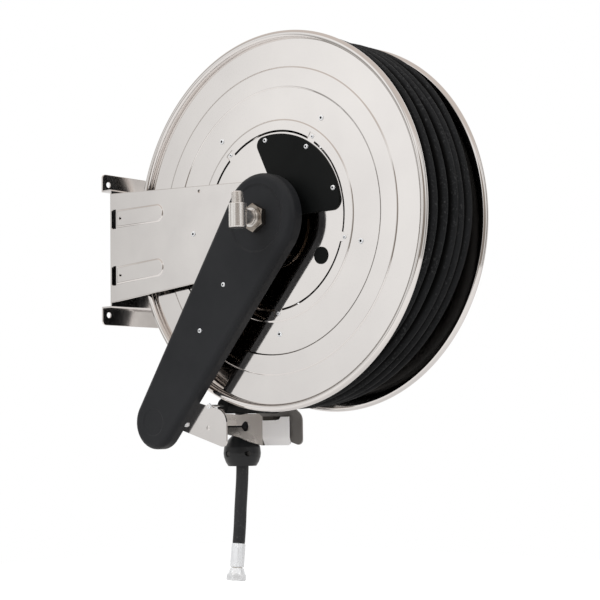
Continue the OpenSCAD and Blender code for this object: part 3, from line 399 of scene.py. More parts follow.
def put(name, points, faces, body, material, stands_for="", sharp=35.0, deep=None):
    """A mesh from points in millimetres and faces: doubles merged, faces turned outwards, smooth
    up to an angle of sharp degrees, riding on a body of the frame in place of the CAD nodes it
    stands for. deep is kept as an attribute: 1 at points where the finish paints shade."""
    mesh = bpy.data.meshes.new(name)
    mesh.from_pydata(at_axle(points).reshape(-1, 3).tolist(), [], faces)
    if deep is not None:
        mesh.attributes.new("deep", "FLOAT", "POINT").data.foreach_set("value", np.float32(deep))
    shell = bmesh.new()
    shell.from_mesh(mesh)
    bmesh.ops.remove_doubles(shell, verts=shell.verts, dist=2e-6)
    bmesh.ops.dissolve_degenerate(shell, edges=shell.edges, dist=1e-6)
    bmesh.ops.recalc_face_normals(shell, faces=shell.faces)
    shell.to_mesh(mesh)
    shell.free()
    mesh.shade_smooth()
    mesh.set_sharp_from_angle(angle=np.radians(sharp))
    mesh.materials.append(material)
    piece = in_scene(name, mesh)
    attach(piece, body)
    if stands_for:
        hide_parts(*stands_for.split())
    print(name, "has", len(mesh.polygons), "faces")
    return piece


# %% From a grid to a skin
def grid_faces(n, m, loop_n=False):
    """Quads of n rings of m points; loop_n joins the last ring to the first."""
    i, j = np.arange(n if loop_n else n - 1)[:, None], np.arange(m)[None, :]
    i2, j2 = (i + 1) % n, (j + 1) % m
    quads = np.stack([i * m + j, i * m + j2, i2 * m + j2, i2 * m + j], -1)
    return quads.reshape(-1, 4).tolist()


def skin(name, grid, body, material, loop_n=False, caps=True, **more):
    """Skins grid[i, j], where j runs round a ring and i from ring to ring; caps close its ends."""
    n, m = grid.shape[:2]
    faces = grid_faces(n, m, loop_n)
    if caps and not loop_n:
        faces += [list(range(m)), list(range((n - 1) * m, n * m))]
    return put(name, grid, faces, body, material, **more)


# %% Curves for outlines and routes
def arc(centre, radius, start, end, steps=24):
    """Points of a plane arc round centre, from the angle start to end in degrees."""
    a = np.radians(np.linspace(start, end, steps + 1))
    return np.asarray(centre, float) + radius * np.stack([np.cos(a), np.sin(a)], -1)


def smooth_path(points, steps):
    """A curve through all points, cut into steps pieces between two of them: the cubic
    0.5 (2b + (c-a)t + (2a-5b+4c-d)t^2 + (3b-a-3c+d)t^3) of four neighbours a, b, c, d."""
    p = np.asarray(points, float)
    k = np.arange(len(p) - 1)
    a, b = p[np.maximum(k - 1, 0), None], p[k, None]
    c, d = p[k + 1, None], p[np.minimum(k + 2, len(p) - 1), None]
    t = (np.arange(steps) / steps)[None, :, None]
    curve = 0.5 * (
        2 * b + (c - a) * t + (2 * a - 5 * b + 4 * c - d) * t**2 + (3 * b - a - 3 * c + d) * t**3
    )
    return np.concatenate([curve.reshape(-1, p.shape[1]), p[-1:]])


def sweep(path, radius, sides):
    """Rings square to a path: each point is centre + radius (cos t u + sin t v), with u square
    to the path's direction and to the axle's, and v square to u and the path."""
    p = np.asarray(path, float)
    d = np.gradient(p, axis=0)
    d /= np.linalg.norm(d, axis=1, keepdims=True)
    u = np.cross(d, (0.0, 1.0, 0.0))
    u /= np.linalg.norm(u, axis=1, keepdims=True)
    v = np.cross(u, d)
    t = np.linspace(0, 2 * np.pi, sides, endpoint=False)[None, :, None]
    return p[:, None] + radius * (np.cos(t) * u[:, None] + np.sin(t) * v[:, None])


def step_up(x, start, width):
    """A soft step: 0 before start, 1 after start + width, and 3t^2 - 2t^3 between."""
    t = np.clip((np.asarray(x, float) - start) / width, 0, 1)
    return t * t * (3 - 2 * t)


# %% Turned pieces
def turn(profile, centre, axis, sides):
    """A profile of radius and height in millimetres, turned round an axis: each point is
    centre + radius (cos t u + sin t v) + height axis."""
    axis = np.asarray(axis, float) / np.linalg.norm(axis)
    helper = np.array([1.0, 0, 0]) if abs(axis[0]) < 0.9 else np.array([0, 0, 1.0])
    u = np.cross(axis, helper)
    u /= np.linalg.norm(u)
    v = np.cross(axis, u)
    t = np.linspace(0, 2 * np.pi, sides, endpoint=False)[None, :, None]
    r, h = np.asarray(profile, float).T[:, :, None, None]
    return np.asarray(centre, float) + r * (np.cos(t) * u + np.sin(t) * v) + h * axis


def turned(name, profile, centre, axis, body, material, sides=96, closed=True, **more):
    """One turned piece. A profile that ends on the axis needs no inner wall, so it isn't closed."""
    grid = turn(profile, centre, axis, sides)
    return skin(name, grid, body, material, loop_n=closed, caps=False, **more)


def turned_set(name, profile, centres, axis, body, material, sides=32, deep=None, **more):
    """The same turned piece at several places, as one mesh. Its profile starts and ends on the
    axis, and deep says for each point of the profile how far it lies in a recess, where painted shade goes."""
    shells = [turn(profile, c, axis, sides) for c in centres]
    points, faces = joined(*[(g, grid_faces(*g.shape[:2])) for g in shells])
    if deep is not None:
        more["deep"] = np.tile(np.repeat(deep, sides), len(shells))
    return put(name, points, faces, body, material, **more)


# %% Faces between loops
def filled(loops):
    """Triangles between closed loops in one plane, the first outside and the others holes: a
    list of points and a list of faces."""
    area = bmesh.new()
    for loop in loops:
        corners = [area.verts.new(p) for p in loop]
        for a, b in zip(corners, corners[1:] + corners[:1]):
            area.edges.new((a, b))
    bmesh.ops.triangle_fill(area, edges=area.edges, use_beauty=True)
    area.verts.index_update()
    points = np.array([v.co for v in area.verts])
    faces = [[v.index for v in f.verts] for f in area.faces]
    area.free()
    return points, faces


def joined(*shells):
    """Several lists of points and faces as one."""
    points, faces, first = [], [], 0
    for p, f in shells:
        p = np.asarray(p, float).reshape(-1, 3)
        points.append(p)
        faces += [[first + i for i in face] for face in f]
        first += len(p)
    return np.concatenate(points), faces


def rings(*loops):
    """Quads from loop to loop, all with the same count of points."""
    grid = np.stack(loops)
    return grid, grid_faces(*grid.shape[:2])


def standing(loop, y):
    """A plane outline of X and Z stood up at the distance y."""
    return np.stack([loop[:, 0], np.full(len(loop), float(y)), loop[:, 1]], -1)


# %% Sheets with a soft edge
def drawn_in(loop, inset):
    """A closed outline moved inwards: each corner goes along the mitre of its two edges, the
    sum of their normals over 1 plus their dot product."""
    edge = np.roll(loop, -1, 0) - loop
    turned_left = np.stack([-edge[:, 1], edge[:, 0]], -1) / np.linalg.norm(edge, axis=1, keepdims=True)
    before = np.roll(turned_left, 1, 0)
    mitre = (turned_left + before) / (1 + (turned_left * before).sum(1, keepdims=True))
    area = (loop[:, 0] * np.roll(loop[:, 1], -1) - loop[:, 1] * np.roll(loop[:, 0], -1)).sum()
    return loop + np.sign(area) * inset * mitre


def sheet(outline, holes, front, back, soft=0.6, ribs=()):
    """A sheet from the distance front to back with a rounded front edge. Holes are loops through
    the sheet. Each rib is a list of (loop, height over the front) and a list of its own holes."""
    way = np.sign(back - front)
    q = np.radians(np.linspace(0, 90, 5))
    soft_edge = [
        standing(drawn_in(outline, soft * (1 - np.cos(a))), front + way * soft * (1 - np.sin(a)))
        for a in q
    ]
    edges = [standing(outline, back), standing(outline, back - 0.2 * way * soft), *soft_edge,
        standing(drawn_in(outline, soft + 0.4), front)]
    feet, own, shells = [], [], [rings(*edges)]
    for loops, rib_holes in ribs:
        walls = [standing(loop, front - way * height) for loop, height in loops]
        top = front - way * loops[-1][1]
        shells += [rings(*walls), filled([walls[-1], *[standing(h, top) for h in rib_holes]])]
        shells += [rings(standing(h, top), standing(h, back)) for h in rib_holes]
        feet.append(walls[0])
        own += rib_holes
    shells.append(filled([edges[-1], *[standing(h, front) for h in holes], *feet]))
    shells.append(filled([edges[0], *[standing(h, back) for h in [*holes, *own]]]))
    shells += [rings(standing(h, front), standing(h, back)) for h in holes]
    return joined(*shells)


def round_hole(at, radius, sides=32):
    """A round hole's outline."""
    return arc(at, radius, 0, 360, sides)[:-1]


# %% [markdown]
# ## The hose's free end
# The hose comes out of the stop and hangs with a slight bow, because its last stretch remembers
# the curve of the drum. A bevelled curve could draw it too. A mesh tube along the same route as
# the CAD part's was chosen, because the points of the route then also give its length.

# %% Free end
HOSE_R = 9.25
end_tilt = np.radians(7.0)
end_way = np.array([0.0, -np.sin(end_tilt), -np.cos(end_tilt)])
tail_end = np.array([-138.0, 0.0, -462.0])
tail_route = [
    (-138, 10, -303), (-138, 10, -320), (-138, 10, -336), (-138, 10, -350), (-138, 9, -369),
    (-138, 7, -390), (-138, 5, -410), (-138, 3.8, -427), tuple(tail_end - 2 * HOSE_R * end_way),
    tuple(tail_end),
]
tail_path = smooth_path(tail_route, 6)
hose_tail = skin("hose_free_end", sweep(tail_path, HOSE_R, 40), "frame", hose_rubber, stands_for="hose_tail")
tail_metres = at_axle(tail_path)
tail_length = float(np.linalg.norm(np.diff(tail_metres, axis=0), axis=1).sum())
print("free end:", round(tail_length, 4), "m")

# %% [markdown]
# ## The flanges
# Each flange is one sheet, spun and pressed: three shallow steps stiffen it, and its rim is
# rolled outwards into a bead. The sheet's middle line is a curve of radius and height; two
# parallels half a sheet away from it close the section. The inner edge moves out in five notches
# that let the tabs of the hub disc through. A Screw modifier could turn the section, but not the
# notches, so the grid is computed and its inner stretch depends on the angle.

# %% Sizes and steps of a flange
SHEET = 1.5
WEB_Y, STEP_H = 66.25, 1.2
HOLE_R, NOTCH_R, FLAT_R = 129.0, 137.0, 139.5
NOTCH_HALF_W = 7.0
BEAD_C, BEAD_R = (264.5, 69.8), 4.75
PRESSED_R, PRESSED_W = (142, 189, 217), 2.4
tab_angles = 56.5 + 72.0 * np.arange(5)


def sheet_height(r):
    """Height of the sheet's middle over the drum's middle: the web's, one step less between the
    first and second pressed radius and again beyond the third."""
    first, second, third = [step_up(r, start, PRESSED_W) for start in PRESSED_R]
    return WEB_Y - STEP_H * (first - second + third)


# %% Section of a flange
flat_part = np.array([0, 0.03, 0.1, 0.9, 1.0])
steps_r = np.concatenate([start + np.linspace(0, PRESSED_W, 9) for start in PRESSED_R])
between_r = [140.5, 141.5, 145, 160, 178, 187.5, 188.7, 192, 205, 215.5, 216.7, 220, 235, 250, 260, 263]
web_r = np.sort(np.concatenate([between_r, steps_r]))
bead = arc(BEAD_C, BEAD_R, -90, 232, 40)
fold_r = np.concatenate([HOLE_R + (FLAT_R - HOLE_R) * flat_part, web_r])
middle = np.concatenate([np.stack([fold_r, sheet_height(fold_r)], -1), bead])
along = np.gradient(middle, axis=0)
across = np.stack([along[:, 1], -along[:, 0]], -1) / np.linalg.norm(along, axis=1, keepdims=True)
outer, inner = middle - across * SHEET / 2, middle + across * SHEET / 2
lip_end = middle[-1] + 0.45 * (along[-1] / np.linalg.norm(along[-1]))
section = np.concatenate([outer, [lip_end], inner[::-1]])
print("points of a flange's section:", len(section))


# %% Both flanges
def flange(name, way, stands_for):
    """Turns the section round the axle: x = r cos a, y = way height, z = r sin a, where r grows
    by the notch depth in the inner stretch at the tabs."""
    edge_a = NOTCH_HALF_W / NOTCH_R
    base = np.linspace(0, 2 * np.pi, 300, endpoint=False)
    sides = np.radians(tab_angles)[:, None] + np.array([[-edge_a - 1e-3, -edge_a, edge_a, edge_a + 1e-3]])
    a = np.unique(np.mod(np.concatenate([base, sides.ravel()]), 2 * np.pi))
    off = np.abs(np.mod(a[:, None] - np.radians(tab_angles) + np.pi, 2 * np.pi) - np.pi).min(1)
    hole = np.where(off <= edge_a + 1e-9, NOTCH_R, HOLE_R)
    r, y = section[:, 0, None], section[:, 1, None]
    share = (FLAT_R - r) / (FLAT_R - HOLE_R)
    r = np.where(r < FLAT_R, FLAT_R - (FLAT_R - hole) * share, r)
    y = np.broadcast_to(y, r.shape)
    grid = np.stack([r * np.cos(a), way * y, r * np.sin(a)], -1)
    return skin(name, grid, "drum", spun_steel, loop_n=True, stands_for=stands_for, sharp=50)


for side, way in (("front", -1), ("rear", 1)):
    flange(f"{side}_flange_spun", way, f"{side}_flange")

# %% [markdown]
# ## The wound hose
# Nearly five turns of hose lie open on the drum, over a lower layer that is packed tight. A
# spring winds them in, so they cross the drum in a slant and none is quite even: over the top
# right of the drum they lie further back than on its lower left, and the first of them rides up
# at the top of the rear. Shade falls where two turns meet, and it is painted there, so the finish
# is darkest down there. Each layer is one tube along a helix, and the ends of the upper one sink
# into the layer below, so no cut end shows. A bevelled curve could follow the same helix, but on
# a grid of points the painted shade is an attribute that stays in its valley.

# %% A tube along a helix
WOUND_R, LOWER_R = 256.75, 237.5
EXIT_A = np.radians(-149.0)
HALF_WIDTH = 54.5


def wound(name, turns, per_turn, sides, material, stands_for, track):
    """A tube along a helix that starts at the exit angle: the angle is exit - 2 pi u, where u
    counts turns, and track gives the radius and the height y of each u. The attribute deep rises
    from 0 to 1 down the tube's sides, where the cosine of the ring's angle falls from 0.9 to 0.5."""
    u = np.linspace(0, turns, int(turns * per_turn) + 1)
    a = EXIT_A - 2 * np.pi * u
    r, y = track(u, a)
    path = np.stack([r * np.cos(a), y, r * np.sin(a)], -1)
    ring = np.linspace(0, 2 * np.pi, sides, endpoint=False)
    # deep: 1 down the tube's sides, where the finish paints the shade between turns.
    valley = np.tile(1 - step_up(np.cos(ring), 0.5, 0.4), len(u))
    grid = sweep(path, HOSE_R, sides)
    print(name, "is", round(float(np.linalg.norm(np.diff(path, axis=0), axis=1).sum()) * MM, 2), "m long")
    return skin(name, grid, "drum", material, stands_for=stands_for, deep=valley)


# %% Tracks of the two layers
def upper_track(u, a):
    """Height: 29.6 - 19 u, plus 20 mm between the angles 5 and 100 degrees that smooth steps bring
    back to nothing at -58 and 170, plus 20.4 mm at the hose's exit and 8 mm less in the last turn,
    with turns drawn together in pairs by 2.2 mm each, held within 54.5 mm of the middle. Radius: the
    upper layer's, with small waves, a rise of 2.2 mm round 68 degrees, a bulge of 1.8 mm at
    u = 0.345, 3 mm less on the rest of the first turn, and 19 mm less at both ends."""
    w = np.mod(np.degrees(a) + 180, 360) - 180
    slant = 20 * (step_up(w, -58, 63) - step_up(w, 100, 70))
    paired = 2.2 * np.cos(np.pi * (u - 0.53)) * step_up(u, 0.2, 0.2)
    y = 29.6 - 19 * u + slant + paired + 20.4 * (1 - step_up(u, 0, 0.25)) - 8 * step_up(u, 3.6, 0.7)
    waves = 0.6 * np.sin(3.3 * a + 1) + 0.4 * np.sin(7.7 * a)
    rise = 2.2 * np.exp(-(((w - 68) / 24) ** 2)) + 1.8 * np.exp(-(((u - 0.345) / 0.09) ** 2))
    low = 3 * step_up(u, 0.45, 0.1) * (1 - step_up(u, 0.9, 0.2))
    sink = 19 * (1 - step_up(u, 0, 0.1) + step_up(u, 4.66, 0.14))
    return WOUND_R + waves + rise - low - sink, np.clip(y, -HALF_WIDTH, HALF_WIDTH)


def lower_track(u, a):
    """Height: turns of 18.7 mm that start at the rear. The radius waves by half a millimetre."""
    return LOWER_R + 0.5 * np.sin(5.3 * a), 55 - 18.7 * u


# %% Two layers of hose and their bed
wound("winding", 4.8, 120, 28, wound_rubber, "hose_coil", upper_track)
wound("winding_below", 5.9, 96, 20, inner_rubber, "hose_core", lower_track)
turned("winding_bed", [(170.3, -64), (224, -64), (226, -60), (226, 60), (224, 64), (170.3, 64)],
    (0, 0, 0), (0, 1, 0), "drum", inner_rubber, sides=120)

# %% The hose from the winding to the guide
run_route = [
    (-247, 50, -45), (-251, 49.5, -75), (-250, 49, -100), (-243.5, 48.5, -127), (-232, 48, -151),
    (-221.2, 46, -167.8), (-199, 41, -201.5), (-178, 34, -234), (-158, 26, -260),
    (-144.5, 18, -276), (-138.5, 12, -290), (-138, 10, -303),
]
skin("hose_to_guide", sweep(smooth_path(run_route, 6), HOSE_R, 28), "frame", hose_rubber,
    stands_for="hose_run")

# %% [markdown]
# ## The arm's cover
# A moulded shell hides the arm: a tapered capsule with a soft front edge, a shallow recess round
# the axle nut and another at its lower end. Its outline is worked out as two arcs and their
# tangents, and rings of it, drawn in by a quarter circle, make the soft edge. A Bevel modifier
# could soften it too, but these rings give it the same curve all the way round. The flat face is
# filled between the last ring and the two recess circles.


# %% Outline of a tapered capsule
def capsule(c1, r1, c2, r2, steps=40):
    """Outline round two circles and their outer tangents. The tangent points lie at the angle
    acos((r1 - r2) / distance) from the line of centres."""
    c1, c2 = np.asarray(c1, float), np.asarray(c2, float)
    line = c2 - c1
    a = np.degrees(np.arctan2(line[1], line[0]))
    t = np.degrees(np.arccos((r1 - r2) / np.linalg.norm(line)))
    big = arc(c1, r1, a + t, a + 360 - t, 2 * steps)
    small = arc(c2, r2, a - t, a + t, steps)
    lines = [np.linspace(big[-1], small[0], 14)[1:-1], np.linspace(small[-1], big[0], 14)[1:-1]]
    return np.concatenate([big, lines[0], small, lines[1]])


# %% Arm cover
ARM_HUB, ARM_END = (3.0, -1.0), (-208.2, -281.3)
ARM_HUB_R, ARM_END_R = 64.5, 40.0
FACE_Y, BACK_Y, EDGE, WALL, HUB_RECESS = -106.0, -85.0, 9.0, 3.0, 1.5


def arm_ring(inset, y):
    """The cover's outline drawn in by inset, at the distance y."""
    return standing(capsule(ARM_HUB, ARM_HUB_R - inset, ARM_END, ARM_END_R - inset), y)


def recess(centre, radius, depth, lip, sides=96):
    """Rings of a round recess with a soft lip, from the flat face at FACE_Y down to its floor."""
    q = np.linspace(0, 1, 7)
    r = radius + lip * (0.5 - q)
    y = FACE_Y + depth * (3 * q**2 - 2 * q**3)
    r = np.concatenate([[r[0] + 0.4], r, [r[-1] - 0.4]])
    y = np.concatenate([[y[0]], y, [y[-1]]])
    return [standing(arc(centre, ri, 0, 360, sides)[:-1], yi) for ri, yi in zip(r, y)]


quarter = np.radians(np.linspace(0, 90, 9))
edge_rings = [arm_ring(EDGE * (1 - np.cos(q)), FACE_Y + EDGE * (1 - np.sin(q))) for q in quarter]
outside = [arm_ring(0, BACK_Y), arm_ring(0, BACK_Y - 0.4), arm_ring(0, FACE_Y + EDGE + 0.4)]
outside += edge_rings + [arm_ring(EDGE + 0.5, FACE_Y)]
hub_recess = recess((0, 0), 47.0, HUB_RECESS, lip=4.0)
end_recess = recess(ARM_END, 20.0, 0.8, lip=3.0)
bore = [
    standing(arc((0, 0), r, 0, 360, 96)[:-1], FACE_Y + depth)
    for r, depth in ((13.0, HUB_RECESS), (12.6, HUB_RECESS), (12.4, HUB_RECESS + 0.3), (12.4, WALL))
]
underside = [arm_ring(WALL, y) for y in (FACE_Y + WALL, FACE_Y + WALL + 1, BACK_Y - 0.4, BACK_Y)]
cover = joined(
    rings(*outside),
    filled([outside[-1], hub_recess[0], end_recess[0]]),
    rings(*hub_recess, *bore),
    rings(*end_recess),
    filled([end_recess[-1]]),
    filled([underside[0], bore[-1]]),
    rings(*underside, arm_ring(0, BACK_Y)),
)
put("arm_cover_moulded", *cover, "frame", arm_black, stands_for="arm_cover")

# %% [markdown]
# ## The wall bracket
# The bracket is one folded sheet: two rails on the wall, a web in front of them and two side
# plates that carry the axle. Pressed channels stiffen the side plates. Each plate is filled flat
# between its outline, its holes and the foot of each channel, and the channel's wall is a ring
# of strips that rises in a soft S, because that narrow wall is what the eye sees of it. Boolean
# cuts could make the holes, but the foot of a channel would stay a hard edge.

# %% Edges, channels and slots of the side plates
SIDE_Y, SIDE_IN_Y = 82.5, 80.0
CHANNEL_FROM_X, CHANNEL_TO_X, CHANNEL_R, CHANNEL_H, CHANNEL_SLOPE = -310.4, -221.0, 13.8, 1.5, 2.5
MIDDLE_Z, FOLD_X, FOLD_HALF = -12.0, -323.0, 85.0
NOSE_AT, NOSE_R = (-12.0, -5.0), 62.0
RIVET_X, RIVET_Z = -144.5, -7.0


def side_edge(x, way):
    """Height of a side plate's edge: the straight line from the fold at FOLD_X to the axle at 0."""
    at_fold, at_hub = MIDDLE_Z + way * FOLD_HALF, NOSE_AT[1] + way * NOSE_R
    return at_fold + (at_hub - at_fold) * (x - FOLD_X) / -FOLD_X


def channel(z_wall, z_end):
    """Loops of a channel from its foot to its flat: a round end and a straight one, drawn in by
    CHANNEL_SLOPE while the height goes up by CHANNEL_H in an S. A loop more at each end keeps
    both flats flat. With them comes the small hole in the channel."""
    square_end = [(CHANNEL_FROM_X, z_wall + CHANNEL_R), (CHANNEL_FROM_X, z_wall - CHANNEL_R)]
    foot = np.concatenate([arc((CHANNEL_TO_X, z_end), CHANNEL_R, -90, 90, 24), square_end])
    t = np.concatenate([[0], np.linspace(0, 1, 9), [1]])
    inset = CHANNEL_SLOPE * t + np.concatenate([[-0.4], 0 * t[2:], [0.4]])
    height = CHANNEL_H * t * t * (3 - 2 * t)
    return [(drawn_in(foot, i), h) for i, h in zip(inset, height)], [round_hole((-301, z_wall), 2.6)]


def slot(z):
    """A relief slot beside the fold, round at its left corners."""
    upper = arc((-319.8, z + 12.6), 2.4, 90, 180, 6)
    lower = arc((-319.8, z - 12.6), 2.4, 180, 270, 6)
    return np.concatenate([upper, lower, [(-312.2, z - 15), (-312.2, z + 15)]])


# %% Side plates
SIDE_END_X, UPPER_Z, LOWER_Z = -325.5, 32.0, -55.6
side_end = [(SIDE_END_X, side_edge(SIDE_END_X, way)) for way in (1, -1)]
side_outline = np.concatenate([arc(NOSE_AT, NOSE_R, -90, 90, 60), side_end])
side_holes = [slot(UPPER_Z), slot(LOWER_Z), round_hole((-132.5, 55), 2.7)]
side_holes.append(round_hole((RIVET_X, RIVET_Z), 2.0))
channels = [channel(UPPER_Z, UPPER_Z), channel(LOWER_Z, -50.0)]
side_points, side_faces = sheet(side_outline, side_holes, -SIDE_Y, -SIDE_IN_Y, 0.8, channels)
print("points of a side plate:", len(side_points))

# %% Rails, lips and web
RAIL_HALF, RAIL_LOW, RAIL_TOP, RAIL_CORNER = 82.5, 78, 106, 7.0
corner_x, corner_z = RAIL_HALF - RAIL_CORNER, RAIL_TOP - RAIL_CORNER
rail_outline = np.concatenate([
    arc((corner_x, corner_z), RAIL_CORNER, 0, 90, 12),
    arc((-corner_x, corner_z), RAIL_CORNER, 90, 180, 12), [(-RAIL_HALF, RAIL_LOW), (RAIL_HALF, RAIL_LOW)],
])
rail_holes = [round_hole((x, 90), 4.5) for x in (70, -70)]
rail_points, rail_faces = sheet(rail_outline, rail_holes, 2.5, 0.0)
rail_points = rail_points[:, [1, 0, 2]]
upper_bend, lower_bend = (18.5, 76.5), (18.5, -100.5)
c_outline = np.concatenate([
    [(0, 80)], arc(upper_bend, 3.5, 90, 0, 8), arc(lower_bend, 3.5, 0, -90, 8), [(0, -104), (0, -101.5)],
    arc(lower_bend, 1.0, -90, 0, 4), arc(upper_bend, 1.0, 0, 90, 4), [(0, 77.5)],
])
c_loops = [standing(c_outline, y) for y in (-82.0, 82.0)]
folds = joined(rings(*c_loops), filled([c_loops[0]]), filled([c_loops[1]]))
wall = np.array([-345.0, 0.0, 0.0])
low_rail = rail_points * (1, 1, -1) + (0, 0, 2 * MIDDLE_Z)
bracket = joined(
    (side_points, side_faces), (side_points * (1, -1, 1), side_faces), (rail_points + wall, rail_faces),
    (low_rail + wall, rail_faces), (folds[0] + wall, folds[1]),
)
put("bracket_pressed", *bracket, "frame", bracket_steel, "wall_bracket", sharp=40)

# %% [markdown]
# ## The hub cover
# The black sector on the hub disc is a moulding with a soft edge. Its outline runs from corner to
# corner: a low corner, the long arc just inside the disc's rim, the upper corner, the slanted
# edge, and an inner arc that the arm hides. It could be cut from a disc, but its corners have
# two radii, and an outline of arcs gives each its own.

# %% Hub cover
COVER_R, INNER_R, HUB_Y, COVER_H = 123.5, 36.0, 66.5, 3.0
LOW_EDGE, LOW_CORNER_R, TOP_CORNER_R = 3.5, 14.0, 12.0
SLANT, SLANT_AT = 25.7, 20.2


def corner_at(corner_r, edge_at, normal, way):
    """Centre and angle of the corner between the cover's rim and a straight edge: it lies
    edge_at + corner_r from the axle along the edge's normal, and from there along the edge by
    the root of (COVER_R - corner_r) squared less that distance squared. way 1 goes
    anticlockwise from the normal, and -1 clockwise."""
    n, off = np.radians(normal), edge_at + corner_r
    along_edge = way * np.sqrt((COVER_R - corner_r) ** 2 - off**2)
    centre = (off * np.cos(n) - along_edge * np.sin(n), off * np.sin(n) + along_edge * np.cos(n))
    return centre, np.degrees(np.arctan2(centre[1], centre[0]))


low_corner, low_a = corner_at(LOW_CORNER_R, LOW_EDGE, 90, -1)
top_corner, top_a = corner_at(TOP_CORNER_R, SLANT_AT, SLANT, 1)
inner_from = SLANT + np.degrees(np.arccos(SLANT_AT / INNER_R))
cover_outline = np.concatenate([
    arc(low_corner, LOW_CORNER_R, -90, low_a, 16), arc((0, 0), COVER_R, low_a, top_a, 60)[1:-1],
    arc(top_corner, TOP_CORNER_R, top_a, 180 + SLANT, 16),
    arc((0, 0), INNER_R, inner_from, np.degrees(np.arcsin(LOW_EDGE / INNER_R)), 20),
])
hub_cover = sheet(cover_outline, [], -HUB_Y - COVER_H, -HUB_Y, 1.3)
put("hub_cover_moulded", *hub_cover, "drum", hub_black, "hub_cover")

# %% [markdown]
# ## Screws and rivets
# Heads are small, but each of them shows a bright ring round a dark recess. A plain disc would
# lose that ring, so one profile per kind is turned and set at all its places, and each set of
# heads is one mesh. The attribute deep is 1 on the floor and the walls of the recess, where the
# finish paints the recess's shade near black.


# %% Heads
def head(r, h, recess_r, depth, shank_r, shank):
    """Profile of a head with a round recess, on its shank: from the recess's floor out to the
    crown, down the rim and back to the axis, with the share of painted shade at each point."""
    profile = [
        (0, h - depth), (recess_r - 0.1, h - depth), (recess_r, h - 0.15), (recess_r + 0.25, h),
        (r * 0.72, h * 0.97), (r * 0.88, h * 0.8), (r * 0.97, h * 0.5), (r, h * 0.2), (r, 0),
        (shank_r, 0), (shank_r, -shank), (0, -shank),
    ]
    return profile, [1, 1, 1, 0, 0, 0, 0, 0, 0, 0, 0, 0]


def on_circle(radius, angles, y):
    """Places on a circle round the axle, at the distance y."""
    a = np.radians(angles)
    return np.stack([radius * np.cos(a), np.full(len(a), float(y)), radius * np.sin(a)], -1)


# %% Heads at their places
# Sizes for head(): radius, height, radius and depth of the recess, radius and length of the shank.
FRONT, REAR = (0, -1, 0), (0, 1, 0)
COVER_SCREW, ARM_SCREW = (3.5, 2.2, 1.5, 1.6, 2.0, 9.0), (3.5, 2.2, 1.4, 1.5, 2.0, 24.5)
FLANGE_RIVET, BRACKET_RIVET = (4.0, 1.5, 1.7, 1.3, 2.0, 4.5), (4.0, 1.5, 1.7, 1.3, 2.0, 3.5)
TAB_SCREW = (2.8, 1.4, 1.0, 1.0, 2.0, 5.2)
COVER_SCREWS_R, RIVETS_R, TAB_SCREWS_R, FLANGE_FACE_Y = 116.5, 161.5, 132.5, 65.8
cover_screws = on_circle(COVER_SCREWS_R, np.array([17, 56.5, 96]), -HUB_Y - COVER_H)
arm_lean = np.radians(53)
arm_screws = np.array([3.0, -105.0, -1.0]) - np.outer([110.0, 189.0], [np.cos(arm_lean), 0, np.sin(arm_lean)])
both_sides = (("front", FRONT), ("rear", REAR))
head_sets = [
    ("cover_screw_heads", "hub_cover_screws", "drum", FRONT, COVER_SCREW, cover_screws),
    ("arm_screw_heads", "arm_cover_screws", "frame", FRONT, ARM_SCREW, arm_screws),
    *[(f"{side}_rivet_heads", f"flange_rivets_{side}", "drum", way, FLANGE_RIVET,
        on_circle(RIVETS_R, tab_angles, way[1] * FLANGE_FACE_Y)) for side, way in both_sides],
    ("bracket_rivets_front", "", "frame", FRONT, BRACKET_RIVET, [(RIVET_X, -SIDE_Y, RIVET_Z)]),
    ("bracket_rivets_back", "bracket_rivets", "frame", REAR, BRACKET_RIVET, [(RIVET_X, SIDE_Y, RIVET_Z)]),
    *[(f"{side}_tab_screws", f"hub_screws_{side}", "drum", way, TAB_SCREW,
        on_circle(TAB_SCREWS_R, tab_angles, way[1] * HUB_Y)) for side, way in both_sides],
]
for name, node_name, body, way, sizes, places in head_sets:
    profile, deep = head(*sizes)
    turned_set(name, profile, places, way, body, zinc, stands_for=node_name, deep=deep)

# %% [markdown]
# ## Inlet and axle nut
# The elbow is a turned body with soft edges and a threaded stub. Its thread could be swept along
# a helix, but is drawn as ridges, which is all that shows at this size. The axle's nut is a
# hexagon whose corners are turned off. Its radius is that of the hexagon, flats / (2 cos of the
# angle from the middle of a flat), but never more than the circle of the chamfer on its face. A
# hexagon and a cone could be cut with each other, but one formula gives the same curved corners.

# %% Elbow
ELBOW_Y, BODY_R, STUB_R = -142.0, 12.4, 8.6
RIDGES, PITCH, RIDGE_H = 9, 1.7, 0.9
ridges = np.stack([
    np.tile([STUB_R - RIDGE_H, STUB_R, STUB_R, STUB_R - RIDGE_H], RIDGES),
    (32.0 - PITCH * np.arange(RIDGES)[:, None] - np.array([0.0, 0.5, 0.8, 1.3])).ravel(),
], -1)
stub = [(0, 0), (5.0, 0), (5.0, 33.2), (6.2, 33.5), (7.2, 33.5), (7.4, 32.6)]
body = [(7.5, 17.2), (11.2, 17.2), (12.0, 16.9), (BODY_R, 16.2), (BODY_R, 15.6), (BODY_R, -15.0),
    (BODY_R, -15.5), (11.8, -16.5), (11.0, -17.0), (0, -17.0)]
upright = turn(stub + ridges.tolist() + body, (0, ELBOW_Y, 0), (0, 0, 1), 64)
neck_profile = [(7.05, 1.0), (10.5, 1.0), (10.5, 24.2), (9.9, 24.8), (7.05, 24.8)]
neck = turn(neck_profile, (0, ELBOW_Y, 0), (0, 1, 0), 64)
elbow = joined((upright, grid_faces(*upright.shape[:2])), (neck, grid_faces(*neck.shape[:2], loop_n=True)))
put("elbow_turned", *elbow, "inlet", turned_steel, stands_for="inlet_elbow")


